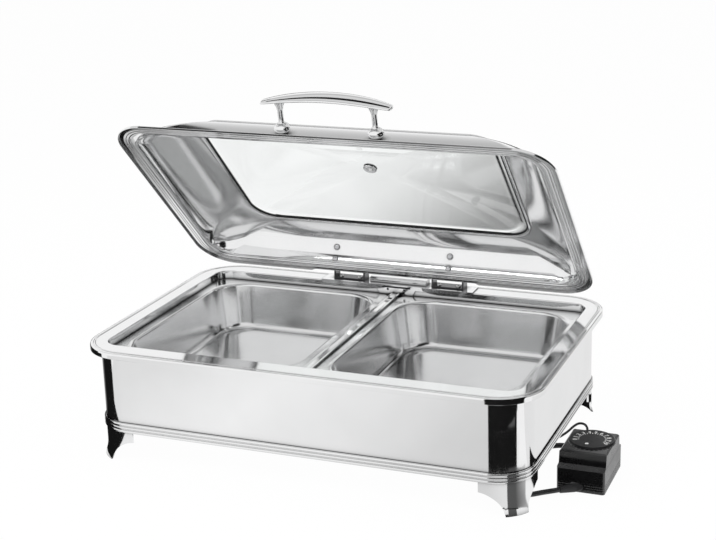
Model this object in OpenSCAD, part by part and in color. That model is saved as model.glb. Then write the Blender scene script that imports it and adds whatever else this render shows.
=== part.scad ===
// Electric chafing dish: heated base, two food pans, hinged window lid and a control box on its leads.
// Origin: centre of the base on the table. X to the right, Y to the rear, Z up. Millimetres.

/* [Casing] */
// Space between the recess and the outside of the casing at each end
casing_end_margin = 11; // [9:0.5:30]
// Space between the recess and the outside of the casing at the front and the rear
casing_front_margin = 17; // [12:0.5:30]
// Corner radius of the casing
casing_corner = 44; // [38:1:50]
// Height of the casing wall
casing_height = 107.3; // [100:0.1:125]
// Sheet thickness of the casing
casing_wall = 1.2; // [0.8:0.1:2]
// Height of the moulded band at the foot of the casing
band_height = 13; // [10:0.5:18]
// How far the band stands out from the casing
band_outset = 2.5; // [1.5:0.1:4]
// Thickness of the plate that closes the casing from below
bottom_sheet = 1.2; // [0.8:0.1:2]

/* [Feet] */
// Height of the feet
foot_height = 40; // [34:1:50]
// Reach of a foot's wing from the corner of the casing
foot_wing = 55; // [50:1:70]
// Sheet thickness of the feet
foot_sheet = 2.5; // [1.5:0.1:4]
// How far a toe flares out at the table
foot_flare = 4; // [0:0.5:8]
// Radius of the hollow curve under a wing
foot_curve = 37; // [34:1:42]
// Width of a toe, measured in from the corner of the casing
foot_toe = 22; // [18:1:26]

/* [Water pan] */
// How far the rim overhangs the casing
rim_outset = 13.5; // [9:0.5:18]
// Height of the turned-down edge of the rim
rim_skirt = 7.5; // [5:0.5:12]
// Drop from the rim to the ledge that carries the food pans
recess_drop = 13; // [10:0.5:16]
// Width of the ledge
ledge_width = 12; // [10:0.5:12]
// Depth of the water pan below its ledge
water_depth = 74.5; // [68:0.5:78]
// Sheet thickness of the water pan
water_sheet = 1.2; // [0.8:0.1:1.6]
// How far the walls of the water pan lean in
water_draft = 6; // [2:0.5:10]

/* [Food pans] */
// Opening of a food pan from left to right
pan_width = 235; // [225:1:240]
// Opening of a food pan from front to rear
pan_length = 295; // [285:1:300]
// Corner radius of a food pan
pan_corner = 46; // [38:1:54]
// Width of a food pan's flange
pan_flange = 13; // [12.5:0.5:15]
// Depth of a food pan
pan_depth = 62; // [50:1:66]
// Sheet thickness of the food pans
pan_sheet = 1; // [0.7:0.1:1.4]
// How far the walls of a food pan lean in
pan_draft = 10; // [5:0.5:16]
// Width of the bar between the food pans
divider_width = 12.4; // [10:0.2:15]
// Height of that bar above the ledge
divider_height = 4.5; // [3:0.1:6]
// Play of the food pans in the recess
pan_play = 1.5; // [0.8:0.1:2.5]

/* [Lid] */
// Angle of the lid when the part is at rest
lid_open_angle = 45; // [0:1:90]
// How far the lid covers the rim at each side
lid_side_overlap = 15; // [12:0.5:18]
// How far the lid covers the rim at the front
lid_front_overlap = 18.5; // [14:0.5:22]
// How far the lid covers the rim at the rear
lid_rear_overlap = 3.5; // [3:0.5:5]
// Corner radius of the lid
lid_corner = 48; // [42:1:54]
// Sheet thickness of the lid
lid_sheet = 1; // [0.8:0.1:1.4]
// Height of the turned-down edge of the lid
lid_lip = 2.5; // [2.2:0.1:4]
// Width of the flat flange round the lid
lid_flange = 14; // [12:0.5:17]
// Height of the dome above its foot
dome_height = 44.5; // [40:0.5:50]
// Clear space between the closed lid and the rim
lid_gap = 0.3; // [0.2:0.1:0.8]

/* [Window] */
// Visible glass from left to right
window_length = 392; // [370:1:400]
// Visible glass from front to rear
window_depth = 226; // [210:1:230]
// Corner radius of the window
window_corner = 32; // [24:1:40]
// Thickness of the glass
glass_thickness = 3; // [2.4:0.1:4]
// How far the glass rises in the middle
glass_rise = 18; // [12:0.5:20]
// Diameter of the steam hole in the glass
vent_hole = 12; // [10:0.5:14]

/* [Handle] */
// Distance between the two posts of the handle
handle_spacing = 122; // [100:1:132]
// Length of the grip
grip_length = 168; // [160:1:190]
// Width of the grip in the middle
grip_width = 32; // [22:0.5:34]
// Thickness of the grip in the middle
grip_thickness = 8; // [7:0.5:11]
// Height of the posts
post_height = 43; // [36:1:50]
// Radius of the slim part of a post
post_radius = 3.4; // [2.6:0.1:4.4]
// Height of the posts' feet on the dome
handle_level = 22; // [20:0.5:30]

/* [Hinge] */
// Distance of the hinge line behind the recess
hinge_setback = 15; // [14:0.5:17]
// Height of the hinge line above the rim
hinge_height = 24.5; // [22:0.5:28]
// Distance of each arm from the middle of the lid
hinge_spacing = 72; // [66:1:78]
// Width of an arm
arm_width = 40; // [34:1:44]
// Radius of the hinge pins
pin_radius = 2.5; // [2:0.1:3.2]
// Running clearance of the pins
pin_clearance = 0.05; // [0.02:0.01:0.09]
// Thickness of the hinge plates
hinge_sheet = 2.5; // [2:0.1:3]

/* [Control box] */
// Width of the control box
box_width = 58; // [56:1:70]
// Length of the control box
box_length = 90; // [84:1:100]
// Height of the control box
box_height = 46.5; // [46:0.5:54]
// Wall thickness of the control box
box_wall = 2; // [1.5:0.1:2.5]
// Gap between the casing and the control box
box_gap = 13; // [8:0.5:16]
// Radius of the dial
dial_radius = 28; // [24:0.5:29]
// Thickness of the dial
dial_height = 3.5; // [3:0.5:8]
// Distance of the dial to the right of the middle of the box
dial_offset = 3; // [0:0.5:4]
// Radius of the dial's shaft
shaft_radius = 3; // [2.5:0.1:3.5]

/* [Leads] */
// Diameter of the mains cord
cord_diameter = 6.2; // [5.8:0.1:6.4]
// Diameter of the heater lead
lead_diameter = 6.5; // [5.5:0.1:7]
// Diameter of the sensor lead
sensor_diameter = 3; // [2.4:0.1:3.2]

/* [Hidden] */
$fn = 72;

steel = [0.78, 0.79, 0.8];
bright = [0.86, 0.87, 0.88];
black = [0.06, 0.06, 0.065];
clear = [0.8, 0.88, 0.9, 0.35];
small_gap = 0.3;
fit_gap = 0.1;
edge_round = 1.2;
corner_steps = 8;

// heights
base_top = foot_height + casing_height;
rim_top = base_top + water_sheet;
ledge_top = rim_top - recess_drop;
water_bottom = ledge_top - water_depth - water_sheet;
pan_top = ledge_top + pan_sheet;

// plan of the recess, the rim and the lid
flange_corner = 18;
flange_x = pan_width / 2 + pan_flange;
flange_y = pan_length / 2 + pan_flange;
pan_pitch = 2 * flange_x + divider_width + 2 * small_gap;
recess_x = pan_pitch / 2 + flange_x + pan_play;
recess_y = flange_y + pan_play;
recess_corner = flange_corner + pan_play;
casing_length = 2 * (recess_x + casing_end_margin);
casing_depth = 2 * (recess_y + casing_front_margin);
rim_x = casing_length / 2 + rim_outset;
rim_y = casing_depth / 2 + rim_outset;
rim_corner = casing_corner + rim_outset;
lid_x = recess_x + lid_side_overlap;
lid_y = recess_y + (lid_front_overlap + lid_rear_overlap) / 2;
lid_middle = (lid_rear_overlap - lid_front_overlap) / 2;
lid_plane = rim_top + lid_gap + lid_lip;

// lid: the wall starts inside the flange and a small step, and ends at the ledge round the window
lid_step_width = 6;
lid_step_height = 1.4;
wall_foot = lid_flange + lid_step_width;
wall_base = lid_sheet + lid_step_height;
window_edge = 4;
window_ledge = 3.5;
opening_x = window_length / 2 + window_edge;
opening_y = window_depth / 2 + window_edge;
opening_corner = window_corner + window_edge;
dome_top = wall_base + dome_height;
reach_x = lid_x - wall_foot - opening_x - window_ledge;
reach_y = lid_y - wall_foot - opening_y - window_ledge;
wall_corner = lid_corner - wall_foot + 4;
wall_rows = 9;
wall_turn = 67;
straight_share = 0.9;
lip_fade = 6;

// hinge
hinge_y = recess_y + hinge_setback;
hinge_z = rim_top + hinge_height;
plate_sheet = 1.5;
plate_half = hinge_spacing + 38;
rivet_offset = 10;
plate_front = recess_y - fit_gap - plate_sheet;
plate_rear = hinge_y + 8;
plate_top = rim_top + plate_sheet;
barrel_radius = 6;
cheek_radius = 7;
arm_play = 0.5;
rivet_radius = 2.5;
bracket_screw = 14;
screw_line = hinge_y - 3;
rivet_levels = [8, 24];

// window stack
retainer_sheet = 1.6;
gasket_sheet = 0.8;
bezel_sheet = 0.8;
glass_base = dome_top - lid_sheet + gasket_sheet;
glass_margin = 0.96;
glass_edge = 2;

// handle on the front wall of the dome
handle_rise = handle_level - wall_base;
handle_lean = atan(front_inset(handle_rise + 0.5) - front_inset(handle_rise - 0.5));
handle_inset = wall_foot + front_inset(handle_rise);
grip_arch = 9.5;
grip_level = post_height + 2;

// control box
box_x = casing_length / 2 + box_gap + box_width / 2;
box_y = -43;
box_corner = 3.5;
tray_height = 12;
waist_height = 28;
waist_step = 3;
box_setback = 13;
box_taper = 0.5;
dial_gap = 0.5;
dial_base = box_height + dial_gap;
dial_x = box_x + dial_offset;
shaft_play = 0.05;

// outlets of the leads
edge = casing_length / 2;
heater_out = [edge - 65, -70, foot_height - 7];
heater_in = [box_x - box_width / 2 + box_taper, -40, 35];
sensor_out = [edge - 48, -22, foot_height];
sensor_in = [box_x - 12, box_y + box_length / 2 - box_setback + 2.6, 40];
sensor_low = foot_height - 10;
relief_angle = 50;
relief_length = 20;
relief_tip = 4.2;
relief_root = 5.8;
relief_face = [box_x - 6, box_y - box_length / 2, 6.2];
relief_way = [-sin(relief_angle), -cos(relief_angle), 0];
relief_end = relief_face + relief_way * relief_length;
cord_floor = 3.3;

// coil of the cord's spare length: inward on the table, a climb of one layer, and outward again on top
coil_x = 40;
coil_y = 254;
coil_turns = 2;
coil_step = 7;
coil_outer = 43;
coil_rings = 24;
coil_sides = 6;
coil_half = coil_turns + 0.25;
coil_count = 2 * coil_half * coil_rings;
coil_path = [for (i = [0:coil_count]) coil_point(i / coil_rings)];
coil_exit = coil_path[coil_count];
coil_skip = 6;
coil_clear = min([for (i = [0:coil_count - coil_skip]) for (j = [i + coil_skip:coil_count])
    norm(coil_path[i] - coil_path[j])]) - cord_diameter;
echo(coil_least_gap = coil_clear);

// plug: its cord end, lying on the table beside the coil
plug_spot = [122, 306, 12.2];
plug_relief = 24;
plug_long = 30;
plug_half = 12;

// routes of the leads, with the first and last points square to what they meet
mains_route = concat([relief_end, relief_end + relief_way * cord_diameter],
    [[edge + 4, -111, 5], [edge - 11, -120, 3.8], [edge - 28, -124, cord_floor],
     [234, -120, cord_floor], [217, -113, cord_floor], [203, -102, cord_floor], [192, -88, cord_floor],
     [184, -72, cord_floor],
     [178, -54, cord_floor], [172, -34, cord_floor], [166, -14, cord_floor], [160, 6, cord_floor],
     [154, 26, cord_floor], [148, 46, cord_floor], [142, 66, cord_floor], [136, 86, cord_floor],
     [130, 106, cord_floor], [124, 126, cord_floor], [118, 146, cord_floor], [111, 165, cord_floor],
     [102, 183, cord_floor], [90, 198, cord_floor], [76, 207, cord_floor], [61, 211, cord_floor]],
    [[coil_x + cord_diameter, coil_y - coil_outer, cord_floor], [coil_x, coil_y - coil_outer, cord_floor]]);
heater_route = [heater_out, heater_out + [8, 0, 0], heater_out + [21, 3, 0], heater_out + [34, 10, 0],
    heater_out + [47, 18, 0.5], [edge - 6, -45, foot_height - 5.5], heater_in - [8, 0, 0], heater_in];
sensor_route = [sensor_in, sensor_in + [0, 3, 0], [edge + 28, 2, 44], [edge + 23, 7, 46],
    [edge + 16, 8, 45.5], [edge + 10.5, 4, 42.5], [edge + 6, -1, 38.5], [edge + 1, -6, 35],
    [edge - 5, -11, sensor_low + 2], [edge - 12, -15, sensor_low + 0.5], [edge - 20, -18, sensor_low],
    [edge - 28, -20, sensor_low], [edge - 35, -21, sensor_low + 0.5], [edge - 41, -22, sensor_low + 2],
    [edge - 45.5, -22, sensor_low + 4.5], sensor_out - [0, 0, 3], sensor_out - [0, 0, fit_gap]];
tail_route = concat([coil_exit, coil_exit + [cord_diameter, 0, 0]],
    [[60, 298, 9.5], [74, 301, 8.5], [88, 304, 9], [101, 305.5, 10.8]],
    [plug_spot - [cord_diameter, 0, 0], plug_spot]);
echo(cord_length = path_length(mains_route) + path_length(coil_path) + path_length(tail_route));

function coil_radius(t) = coil_outer - coil_step * (t < coil_half ? t : 2 * coil_half - t);
function coil_level(t) =
    cord_floor + coil_step * min(1, max(0, (t - coil_turns) / (2 * (coil_half - coil_turns))));
function coil_point(t) =
    [coil_x - coil_radius(t) * sin(360 * t), coil_y - coil_radius(t) * cos(360 * t), coil_level(t)];
function path_length(p, i = 0) = i >= len(p) - 1 ? 0 : norm(p[i + 1] - p[i]) + path_length(p, i + 1);
function unit(v) = v / norm(v);

// rise of the dome's walls: how far a wall has come in at a level, round or nearly straight
function round_in(level) = (1 - cos(asin(level / dome_height * sin(wall_turn)))) / (1 - cos(wall_turn));
function wall_inset(level, reach) = reach * round_in(level);
function front_inset(level) =
    reach_y * (straight_share * level / dome_height + (1 - straight_share) * round_in(level));

// one ring of a lofted sheet: a rounded rectangle, with further points on its rear run
function ring(x, y, corner, z, rear = []) = concat(
    [for (i = [0:corner_steps]) let (a = 90 * i / corner_steps)
        [x - corner + corner * cos(a), y - corner + corner * sin(a), z]],
    [for (p = rear) [p, y, z]],
    [for (q = [1:3]) for (i = [0:corner_steps]) let (a = 90 * q + 90 * i / corner_steps)
        [(q == 3 ? 1 : -1) * (x - corner) + corner * cos(a),
         (q == 1 ? 1 : -1) * (y - corner) + corner * sin(a), z]]);

// a solid through a list of rings, closed by caps at its ends or joined end to start
module loft(rings, looped = false, split = false) {
    n = len(rings[0]);
    m = len(rings);
    last = looped ? m - 1 : m - 2;
    quads = [for (k = [0:last]) for (i = [0:n - 1]) let (j = (i + 1) % n, u = (k + 1) % m)
        [k * n + i, u * n + i, u * n + j, k * n + j]];
    halves = [for (f = quads) for (part = [0, 1]) part == 0 ? [f[0], f[1], f[2]] : [f[0], f[2], f[3]]];
    caps = looped ? [] : [[for (i = [0:n - 1]) i], [for (i = [0:n - 1]) m * n - 1 - i]];
    polyhedron([for (r = rings) each r], concat(split ? halves : quads, caps));
}

// a round tube through the points of a route
module tube(route, diameter, sides, first = undef, last = undef) {
    m = len(route);
    way = [for (i = [0:m - 1]) i == 0 && first != undef ? first : i == m - 1 && last != undef ? last :
        unit(route[min(i + 1, m - 1)] - route[max(i - 1, 0)])];
    rings = [for (i = [0:m - 1]) let (
            helper = abs(way[i].z) > 0.9 ? [-1, 0, 0] : [0, 0, 1],
            across = unit(cross(way[i], helper)), rise = cross(way[i], across))
        [for (s = [0:sides - 1]) let (a = 360 * s / sides)
            route[i] + diameter / 2 * (across * cos(a) + rise * sin(a))]];
    loft(rings, split = true);
}

module rounded(length, depth, corner) {
    square([length, depth - 2 * corner], center = true);
    square([length - 2 * corner, depth], center = true);
    for (x = [-1, 1], y = [-1, 1])
        translate([x * (length / 2 - corner), y * (depth / 2 - corner)]) circle(corner);
}

// an upright band between two rounded rectangles, given by the growth of each side of a plan
module band(length, depth, corner, inner, outer, low, high) {
    translate([0, 0, low]) linear_extrude(high - low) difference() {
        rounded(length + 2 * outer, depth + 2 * outer, corner + outer);
        rounded(length + 2 * inner, depth + 2 * inner, corner + inner);
    }
}

module lid_pose() {
    translate([0, hinge_y, hinge_z]) rotate([-lid_open_angle, 0, 0]) translate([0, -hinge_y, -hinge_z])
        children();
}

module casing() {
    color(bright) band(casing_length, casing_depth, casing_corner, -casing_wall, 0, foot_height, base_top);
}

// a moulded band: a core with three flat ribs, fine grooves between them and a stepped top edge
module base_band() {
    groove = 0.8;
    rib = (band_height - 3 * groove) / 3;
    color(steel) {
        band(casing_length, casing_depth, casing_corner, fit_gap, band_outset - groove,
            foot_height, foot_height + band_height);
        for (k = [0:2])
            band(casing_length, casing_depth, casing_corner, 2 * fit_gap, band_outset,
                foot_height + k * (rib + groove), foot_height + k * (rib + groove) + rib);
    }
}

corner_in = [casing_length / 2 - casing_corner, casing_depth / 2 - casing_corner];
foot_screw = 26;
screw_radius = 2;
stud_x = 90;
stud_radius = 2.5;

module bottom_plate() {
    inset = casing_wall + 2 * fit_gap;
    color(steel) difference() {
        translate([0, 0, foot_height]) linear_extrude(bottom_sheet)
            rounded(casing_length - 2 * inset, casing_depth - 2 * inset, casing_corner - inset);
        for (x = [-1, 1], y = [-1, 1])
            translate([x * corner_in.x, y * corner_in.y, foot_height]) rotate([0, 0, atan2(y, x)])
                translate([foot_screw, 0, -1]) cylinder(r = screw_radius + fit_gap, h = bottom_sheet + 2);
        translate([sensor_out.x, sensor_out.y, foot_height - 1])
            cylinder(r = sensor_diameter / 2 + 2, h = bottom_sheet + 2);
        translate([heater_out.x - 14, heater_out.y, foot_height - 1]) cylinder(r = 5, h = bottom_sheet + 2);
    }
}

// one corner bracket foot, made for the front right corner
module foot() {
    outset = 0.5;
    top = casing_corner + outset;
    waist = 0.55 * foot_height;
    bend = 0.25 * foot_height;
    wing = foot_wing - casing_corner;
    sink = 10;
    hollow = foot_toe + sqrt(foot_curve * foot_curve - sink * sink);
    reach = casing_corner + 2 * foot_flare + 10;
    inner = top - foot_sheet;
    section = [[inner, foot_height], [inner, waist], [inner + foot_flare / 4, bend],
        [inner + foot_flare, 0], [top + foot_flare, 0], [top + foot_flare / 4, bend], [top, waist],
        [top, foot_height]];
    tab_low = foot_height - foot_sheet;
    tab_reach = 9;
    tab_half = 11;
    difference() {
        translate([corner_in.x, -corner_in.y, 0]) {
            rotate([0, 0, -90]) rotate_extrude(angle = 90) polygon(section);
            rotate([90, 0, -90]) linear_extrude(wing) polygon(section);
            translate([0, wing, 0]) rotate([90, 0, 0]) linear_extrude(wing) polygon(section);
            rotate([0, 0, -45]) translate([foot_screw - tab_reach, -tab_half, tab_low])
                cube([top - foot_sheet / 2 - foot_screw + tab_reach, 2 * tab_half, foot_sheet]);
        }
        translate([casing_length / 2 - hollow, -corner_in.y, -sink]) rotate([90, 0, 0])
            cylinder(r = foot_curve, h = reach);
        translate([corner_in.x, -casing_depth / 2 + hollow, -sink]) rotate([0, 90, 0])
            cylinder(r = foot_curve, h = reach);
        translate([corner_in.x, -corner_in.y, tab_low - 1]) rotate([0, 0, -45])
            translate([foot_screw, 0, 0]) cylinder(r = screw_radius + fit_gap, h = foot_sheet + 2);
    }
}

module foot_front_right() {
    color(steel) foot();
}

module foot_front_left() {
    color(steel) mirror([1, 0, 0]) foot();
}

module foot_rear_right() {
    color(steel) mirror([0, 1, 0]) foot();
}

module foot_rear_left() {
    color(steel) mirror([1, 0, 0]) mirror([0, 1, 0]) foot();
}

// a round-headed screw that stands head down at the origin, with its shank upward
module head_down_screw(radius, head, head_height, shank) {
    translate([0, 0, -head_height]) cylinder(r1 = 0.75 * head, r2 = head, h = head_height);
    cylinder(r = radius, h = shank);
}

module bottom_screws() {
    color(steel) for (x = [-1, 1], y = [-1, 1])
        translate([x * corner_in.x, y * corner_in.y, foot_height - foot_sheet]) rotate([0, 0, atan2(y, x)])
            translate([foot_screw, 0, 0])
                head_down_screw(screw_radius, 4, 2, foot_sheet + bottom_sheet + 2);
}

// drawn water pan: from its bottom up the outside, over the rim and down the inside
module water_pan() {
    t = water_sheet;
    open_x = recess_x - ledge_width;
    open_y = recess_y - ledge_width;
    open_corner = 30;
    low_x = open_x - water_draft;
    low_y = open_y - water_draft;
    bead = 0.7;
    color(steel) loft([
        ring(low_x - 6 + t, low_y - 6 + t, open_corner - 6, water_bottom),
        ring(low_x - 1.6 + t, low_y - 1.6 + t, open_corner - 2, water_bottom + 1.6),
        ring(low_x + t, low_y + t, open_corner, water_bottom + 6),
        ring(open_x + t, open_y + t, open_corner + t, ledge_top - t),
        ring(recess_x + t, recess_y + t, recess_corner + t, ledge_top - t),
        ring(recess_x + t, recess_y + t, recess_corner + t, rim_top - t),
        ring(rim_x - t, rim_y - t, rim_corner - t, rim_top - t),
        ring(rim_x - t, rim_y - t, rim_corner - t, rim_top - rim_skirt),
        ring(rim_x, rim_y, rim_corner, rim_top - rim_skirt),
        ring(rim_x, rim_y, rim_corner, rim_top - 3),
        ring(rim_x - 0.9, rim_y - 0.9, rim_corner - 0.9, rim_top - 0.9),
        ring(rim_x - 3, rim_y - 3, rim_corner - 3, rim_top),
        ring(rim_x - 4, rim_y - 4, rim_corner - 4, rim_top),
        ring(rim_x - 4.8, rim_y - 4.8, rim_corner - 4.8, rim_top + bead),
        ring(rim_x - 6.2, rim_y - 6.2, rim_corner - 6.2, rim_top + bead),
        ring(rim_x - 7, rim_y - 7, rim_corner - 7, rim_top),
        ring(recess_x + edge_round, recess_y + edge_round, recess_corner + edge_round, rim_top),
        ring(recess_x, recess_y, recess_corner, rim_top - edge_round),
        ring(recess_x, recess_y, recess_corner, ledge_top),
        ring(open_x + 1, open_y + 1, open_corner + 1, ledge_top),
        ring(open_x, open_y, open_corner, ledge_top - 1),
        ring(low_x, low_y, open_corner, water_bottom + t + 6),
        ring(low_x - 1.6, low_y - 1.6, open_corner - 2, water_bottom + t + 1.6),
        ring(low_x - 6, low_y - 6, open_corner - 6, water_bottom + t)]);
}

// drawn food pan, made round the origin's Z axis
module food_pan() {
    t = pan_sheet;
    x = pan_width / 2;
    y = pan_length / 2;
    low = pan_top - pan_depth;
    low_x = x - pan_draft;
    low_y = y - pan_draft;
    low_corner = pan_corner - 6;
    loft([
        ring(low_x + t - 10, low_y + t - 10, low_corner - 10, low - t),
        ring(low_x + t - 5, low_y + t - 5, low_corner - 5, low - t + 1.3),
        ring(low_x + t - 1.3, low_y + t - 1.3, low_corner - 1.3, low - t + 5),
        ring(low_x + t + 0.2, low_y + t + 0.2, low_corner, low - t + 10),
        ring(x + t, y + t, pan_corner + t, pan_top - t),
        ring(flange_x, flange_y, flange_corner, pan_top - t),
        ring(flange_x, flange_y, flange_corner, pan_top - t / 3),
        ring(flange_x - t / 3, flange_y - t / 3, flange_corner - t / 3, pan_top),
        ring(x + 3, y + 3, pan_corner + 3, pan_top),
        ring(x + 0.8, y + 0.8, pan_corner + 0.8, pan_top - 0.8),
        ring(x, y, pan_corner, pan_top - 3),
        ring(low_x + 0.2, low_y + 0.2, low_corner, low + 10),
        ring(low_x - 1.3, low_y - 1.3, low_corner - 1.3, low + 5),
        ring(low_x - 5, low_y - 5, low_corner - 5, low + 1.3),
        ring(low_x - 10, low_y - 10, low_corner - 10, low)]);
}

module food_pan_left() {
    color(steel) translate([-pan_pitch / 2, 0, 0]) food_pan();
}

module food_pan_right() {
    color(steel) translate([pan_pitch / 2, 0, 0]) food_pan();
}

// bar between the pans: two rolled edges with a shallow channel, seated on the ledge at both ends
module divider_bar() {
    w = divider_width / 2;
    h = divider_height;
    lip = 0.24 * divider_width;
    half = plate_front - pan_play;
    color(bright) translate([0, half, ledge_top]) rotate([90, 0, 0]) linear_extrude(2 * half)
        polygon([[-w, 0], [w, 0], [w, h - 1], [w - 1, h], [w - lip + 1, h], [w - lip, h - 1],
            [lip - w, h - 1], [lip - w - 1, h], [1 - w, h], [-w, h - 1]]);
}

// heating under the water pan: a plate, a bent element, a clamp bar and nuts on welded studs
heater_sheet = 6;
heater_long = 260;
heater_wide = 150;
element_radius = 3.2;
element_pitch = 60;
element_run = 170;
clamp_sheet = 2.5;
clamp_overhang = 14;
clamp_width = 90;
cutout_radius = 9;
cutout_height = 9;
cutout_setback = 25;
bulb_radius = 3.2;
bulb_length = 80;
bulb_setback = 20;
strap_width = 10;
strap_length = 12;
strap_sheet = 0.8;
terminal = [34, 22, 10];
terminal_setback = 110;
terminal_front = 69;
terminal_well = 3;
outlet = [26, 18, 7];
plate_low = water_bottom - heater_sheet;
clamp_high = plate_low - 2 * element_radius - 2 * fit_gap;

module heater_plate() {
    color(steel) difference() {
        translate([0, 0, plate_low]) linear_extrude(heater_sheet) rounded(heater_long, heater_wide, 12);
        for (x = [-1, 1]) translate([x * stud_x, 0, plate_low - 1])
            cylinder(r = stud_radius + fit_gap, h = heater_sheet + 2);
    }
}

module heater_element() {
    z = plate_low - element_radius - fit_gap;
    color(black) {
        for (y = [-1, 1]) translate([-element_run / 2, y * element_pitch / 2, z]) rotate([0, 90, 0])
            cylinder(r = element_radius, h = element_run, $fn = 32);
        translate([element_run / 2, 0, z]) rotate([0, 0, -90]) rotate_extrude(angle = 180)
            translate([element_pitch / 2, 0]) circle(element_radius, $fn = 32);
    }
}

module heater_clamp() {
    color(steel) difference() {
        translate([-stud_x - clamp_overhang, -clamp_width / 2, clamp_high - clamp_sheet])
            cube([2 * (stud_x + clamp_overhang), clamp_width, clamp_sheet]);
        for (x = [-1, 1]) translate([x * stud_x, 0, clamp_high - clamp_sheet - 1])
            cylinder(r = stud_radius + fit_gap, h = clamp_sheet + 2);
    }
}

module heater_nuts() {
    nut = 2;
    nut_low = clamp_high - clamp_sheet - nut;
    color(steel) for (x = [-1, 1]) translate([x * stud_x, 0, 0]) {
        translate([0, 0, nut_low]) cylinder(r = 4.6, h = nut, $fn = 6);
        translate([0, 0, nut_low]) cylinder(r = stud_radius, h = water_bottom - nut_low);
    }
}

module thermal_cutout() {
    color(black) translate([0, -heater_wide / 2 - cutout_setback, water_bottom - cutout_height])
        cylinder(r = cutout_radius, h = cutout_height);
}

module sensor_bulb() {
    drop = bulb_radius + strap_sheet / 2;
    color(steel) translate([heater_long / 2 + bulb_setback, 0, water_bottom - drop]) {
        translate([0, -bulb_length / 2, 0]) rotate([-90, 0, 0])
            cylinder(r = bulb_radius, h = bulb_length, $fn = 32);
        for (y = [-1, 1])
            translate([-strap_length / 2, y * bulb_length / 4 - strap_width / 2, drop - strap_sheet])
                cube([strap_length, strap_width, strap_sheet]);
    }
}

module terminal_block() {
    pitch = terminal.x / 3;
    floor_level = foot_height + bottom_sheet;
    color(black) translate([edge - terminal_setback, terminal_front - casing_depth / 2, floor_level])
        difference() {
            cube(terminal);
            for (k = [0.5:2.5]) translate([k * pitch, terminal.y / 2, terminal.z / 2])
                cylinder(r = terminal_well, h = terminal.z);
        }
}

// side outlet of the heater lead below the bottom plate
module heater_outlet() {
    color(black) translate([heater_out.x - outlet.x, heater_out.y - outlet.y / 2, heater_out.z - outlet.z])
        cube([outlet.x, outlet.y, foot_height - heater_out.z + outlet.z]);
}

module sensor_grommet() {
    color(black) translate([sensor_out.x, sensor_out.y, sensor_out.z]) difference() {
        union() {
            cylinder(r = sensor_diameter / 2 + 1.9, h = bottom_sheet + 2);
            translate([0, 0, bottom_sheet]) cylinder(r = sensor_diameter / 2 + 3.5, h = 2);
        }
        translate([0, 0, 1]) cylinder(r = sensor_diameter / 2, h = bottom_sheet + 2);
    }
}

// hinge on the rear of the rim: a folded plate with two brackets, a cover, pins and screws
module hinge_base() {
    tongue_low = pan_top + 0.8;
    fold_low = rim_top - 4;
    tongue_half = 24;
    hole = 1.6;
    slot = [42, 2.4];
    color(bright) difference() {
        union() {
            translate([-plate_half, plate_front, rim_top])
                cube([2 * plate_half, plate_rear - plate_front, plate_sheet]);
            translate([0, plate_front + plate_sheet, 0]) rotate([90, 0, 0]) linear_extrude(plate_sheet)
                polygon([[-plate_half, plate_top], [-plate_half, fold_low], [-tongue_half - 4, fold_low],
                    [-tongue_half, tongue_low], [tongue_half, tongue_low], [tongue_half + 4, fold_low],
                    [plate_half, fold_low], [plate_half, plate_top]]);
        }
        for (x = [-12, 12]) translate([x, plate_front + 3, rim_top - 4.5]) rotate([90, 0, 0])
            cylinder(r = hole, h = 6, $fn = 24);
        translate([-slot[0] / 2, plate_front - 1, rim_top - slot[1]])
            cube([slot[0], plate_sheet + 2, slot[1]]);
        for (x = [-1, 1]) for (s = [-1, 1])
            translate([x * hinge_spacing + s * bracket_screw, screw_line, rim_top - 1])
                cylinder(r = screw_radius + fit_gap, h = plate_sheet + 2);
    }
}

bracket_half = arm_width / 2 + arm_play + hinge_sheet;
bracket_front = hinge_y - 9;
bracket_floor = 2;

module hinge_bracket() {
    color(bright) difference() {
        union() {
            translate([-bracket_half, bracket_front, plate_top])
                cube([2 * bracket_half, plate_rear - bracket_front, bracket_floor]);
            for (cheek = [-bracket_half, bracket_half - hinge_sheet])
                translate([cheek, 0, 0]) rotate([90, 0, 90]) linear_extrude(hinge_sheet) {
                    polygon([[bracket_front, plate_top], [plate_rear, plate_top],
                        [hinge_y + cheek_radius, hinge_z], [hinge_y - cheek_radius, hinge_z]]);
                    translate([hinge_y, hinge_z]) circle(cheek_radius);
                }
        }
        translate([-bracket_half - 1, hinge_y, hinge_z]) rotate([0, 90, 0])
            cylinder(r = pin_radius + pin_clearance, h = 2 * bracket_half + 2);
        for (s = [-1, 1]) translate([s * bracket_screw, screw_line, plate_top - 1])
            cylinder(r = screw_radius + fit_gap, h = bracket_floor + 2);
    }
}

module hinge_bracket_left() {
    translate([-hinge_spacing, 0, 0]) hinge_bracket();
}

module hinge_bracket_right() {
    translate([hinge_spacing, 0, 0]) hinge_bracket();
}

module hinge_pins() {
    head = 1.6;
    color(steel) for (x = [-1, 1]) translate([x * hinge_spacing, hinge_y, hinge_z]) rotate([0, 90, 0]) {
        translate([0, 0, -bracket_half]) cylinder(r = pin_radius, h = 2 * bracket_half);
        translate([0, 0, -bracket_half - head]) cylinder(r = pin_radius + 2, h = head);
        translate([0, 0, bracket_half]) cylinder(r = pin_radius + 2, h = head);
    }
}

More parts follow.
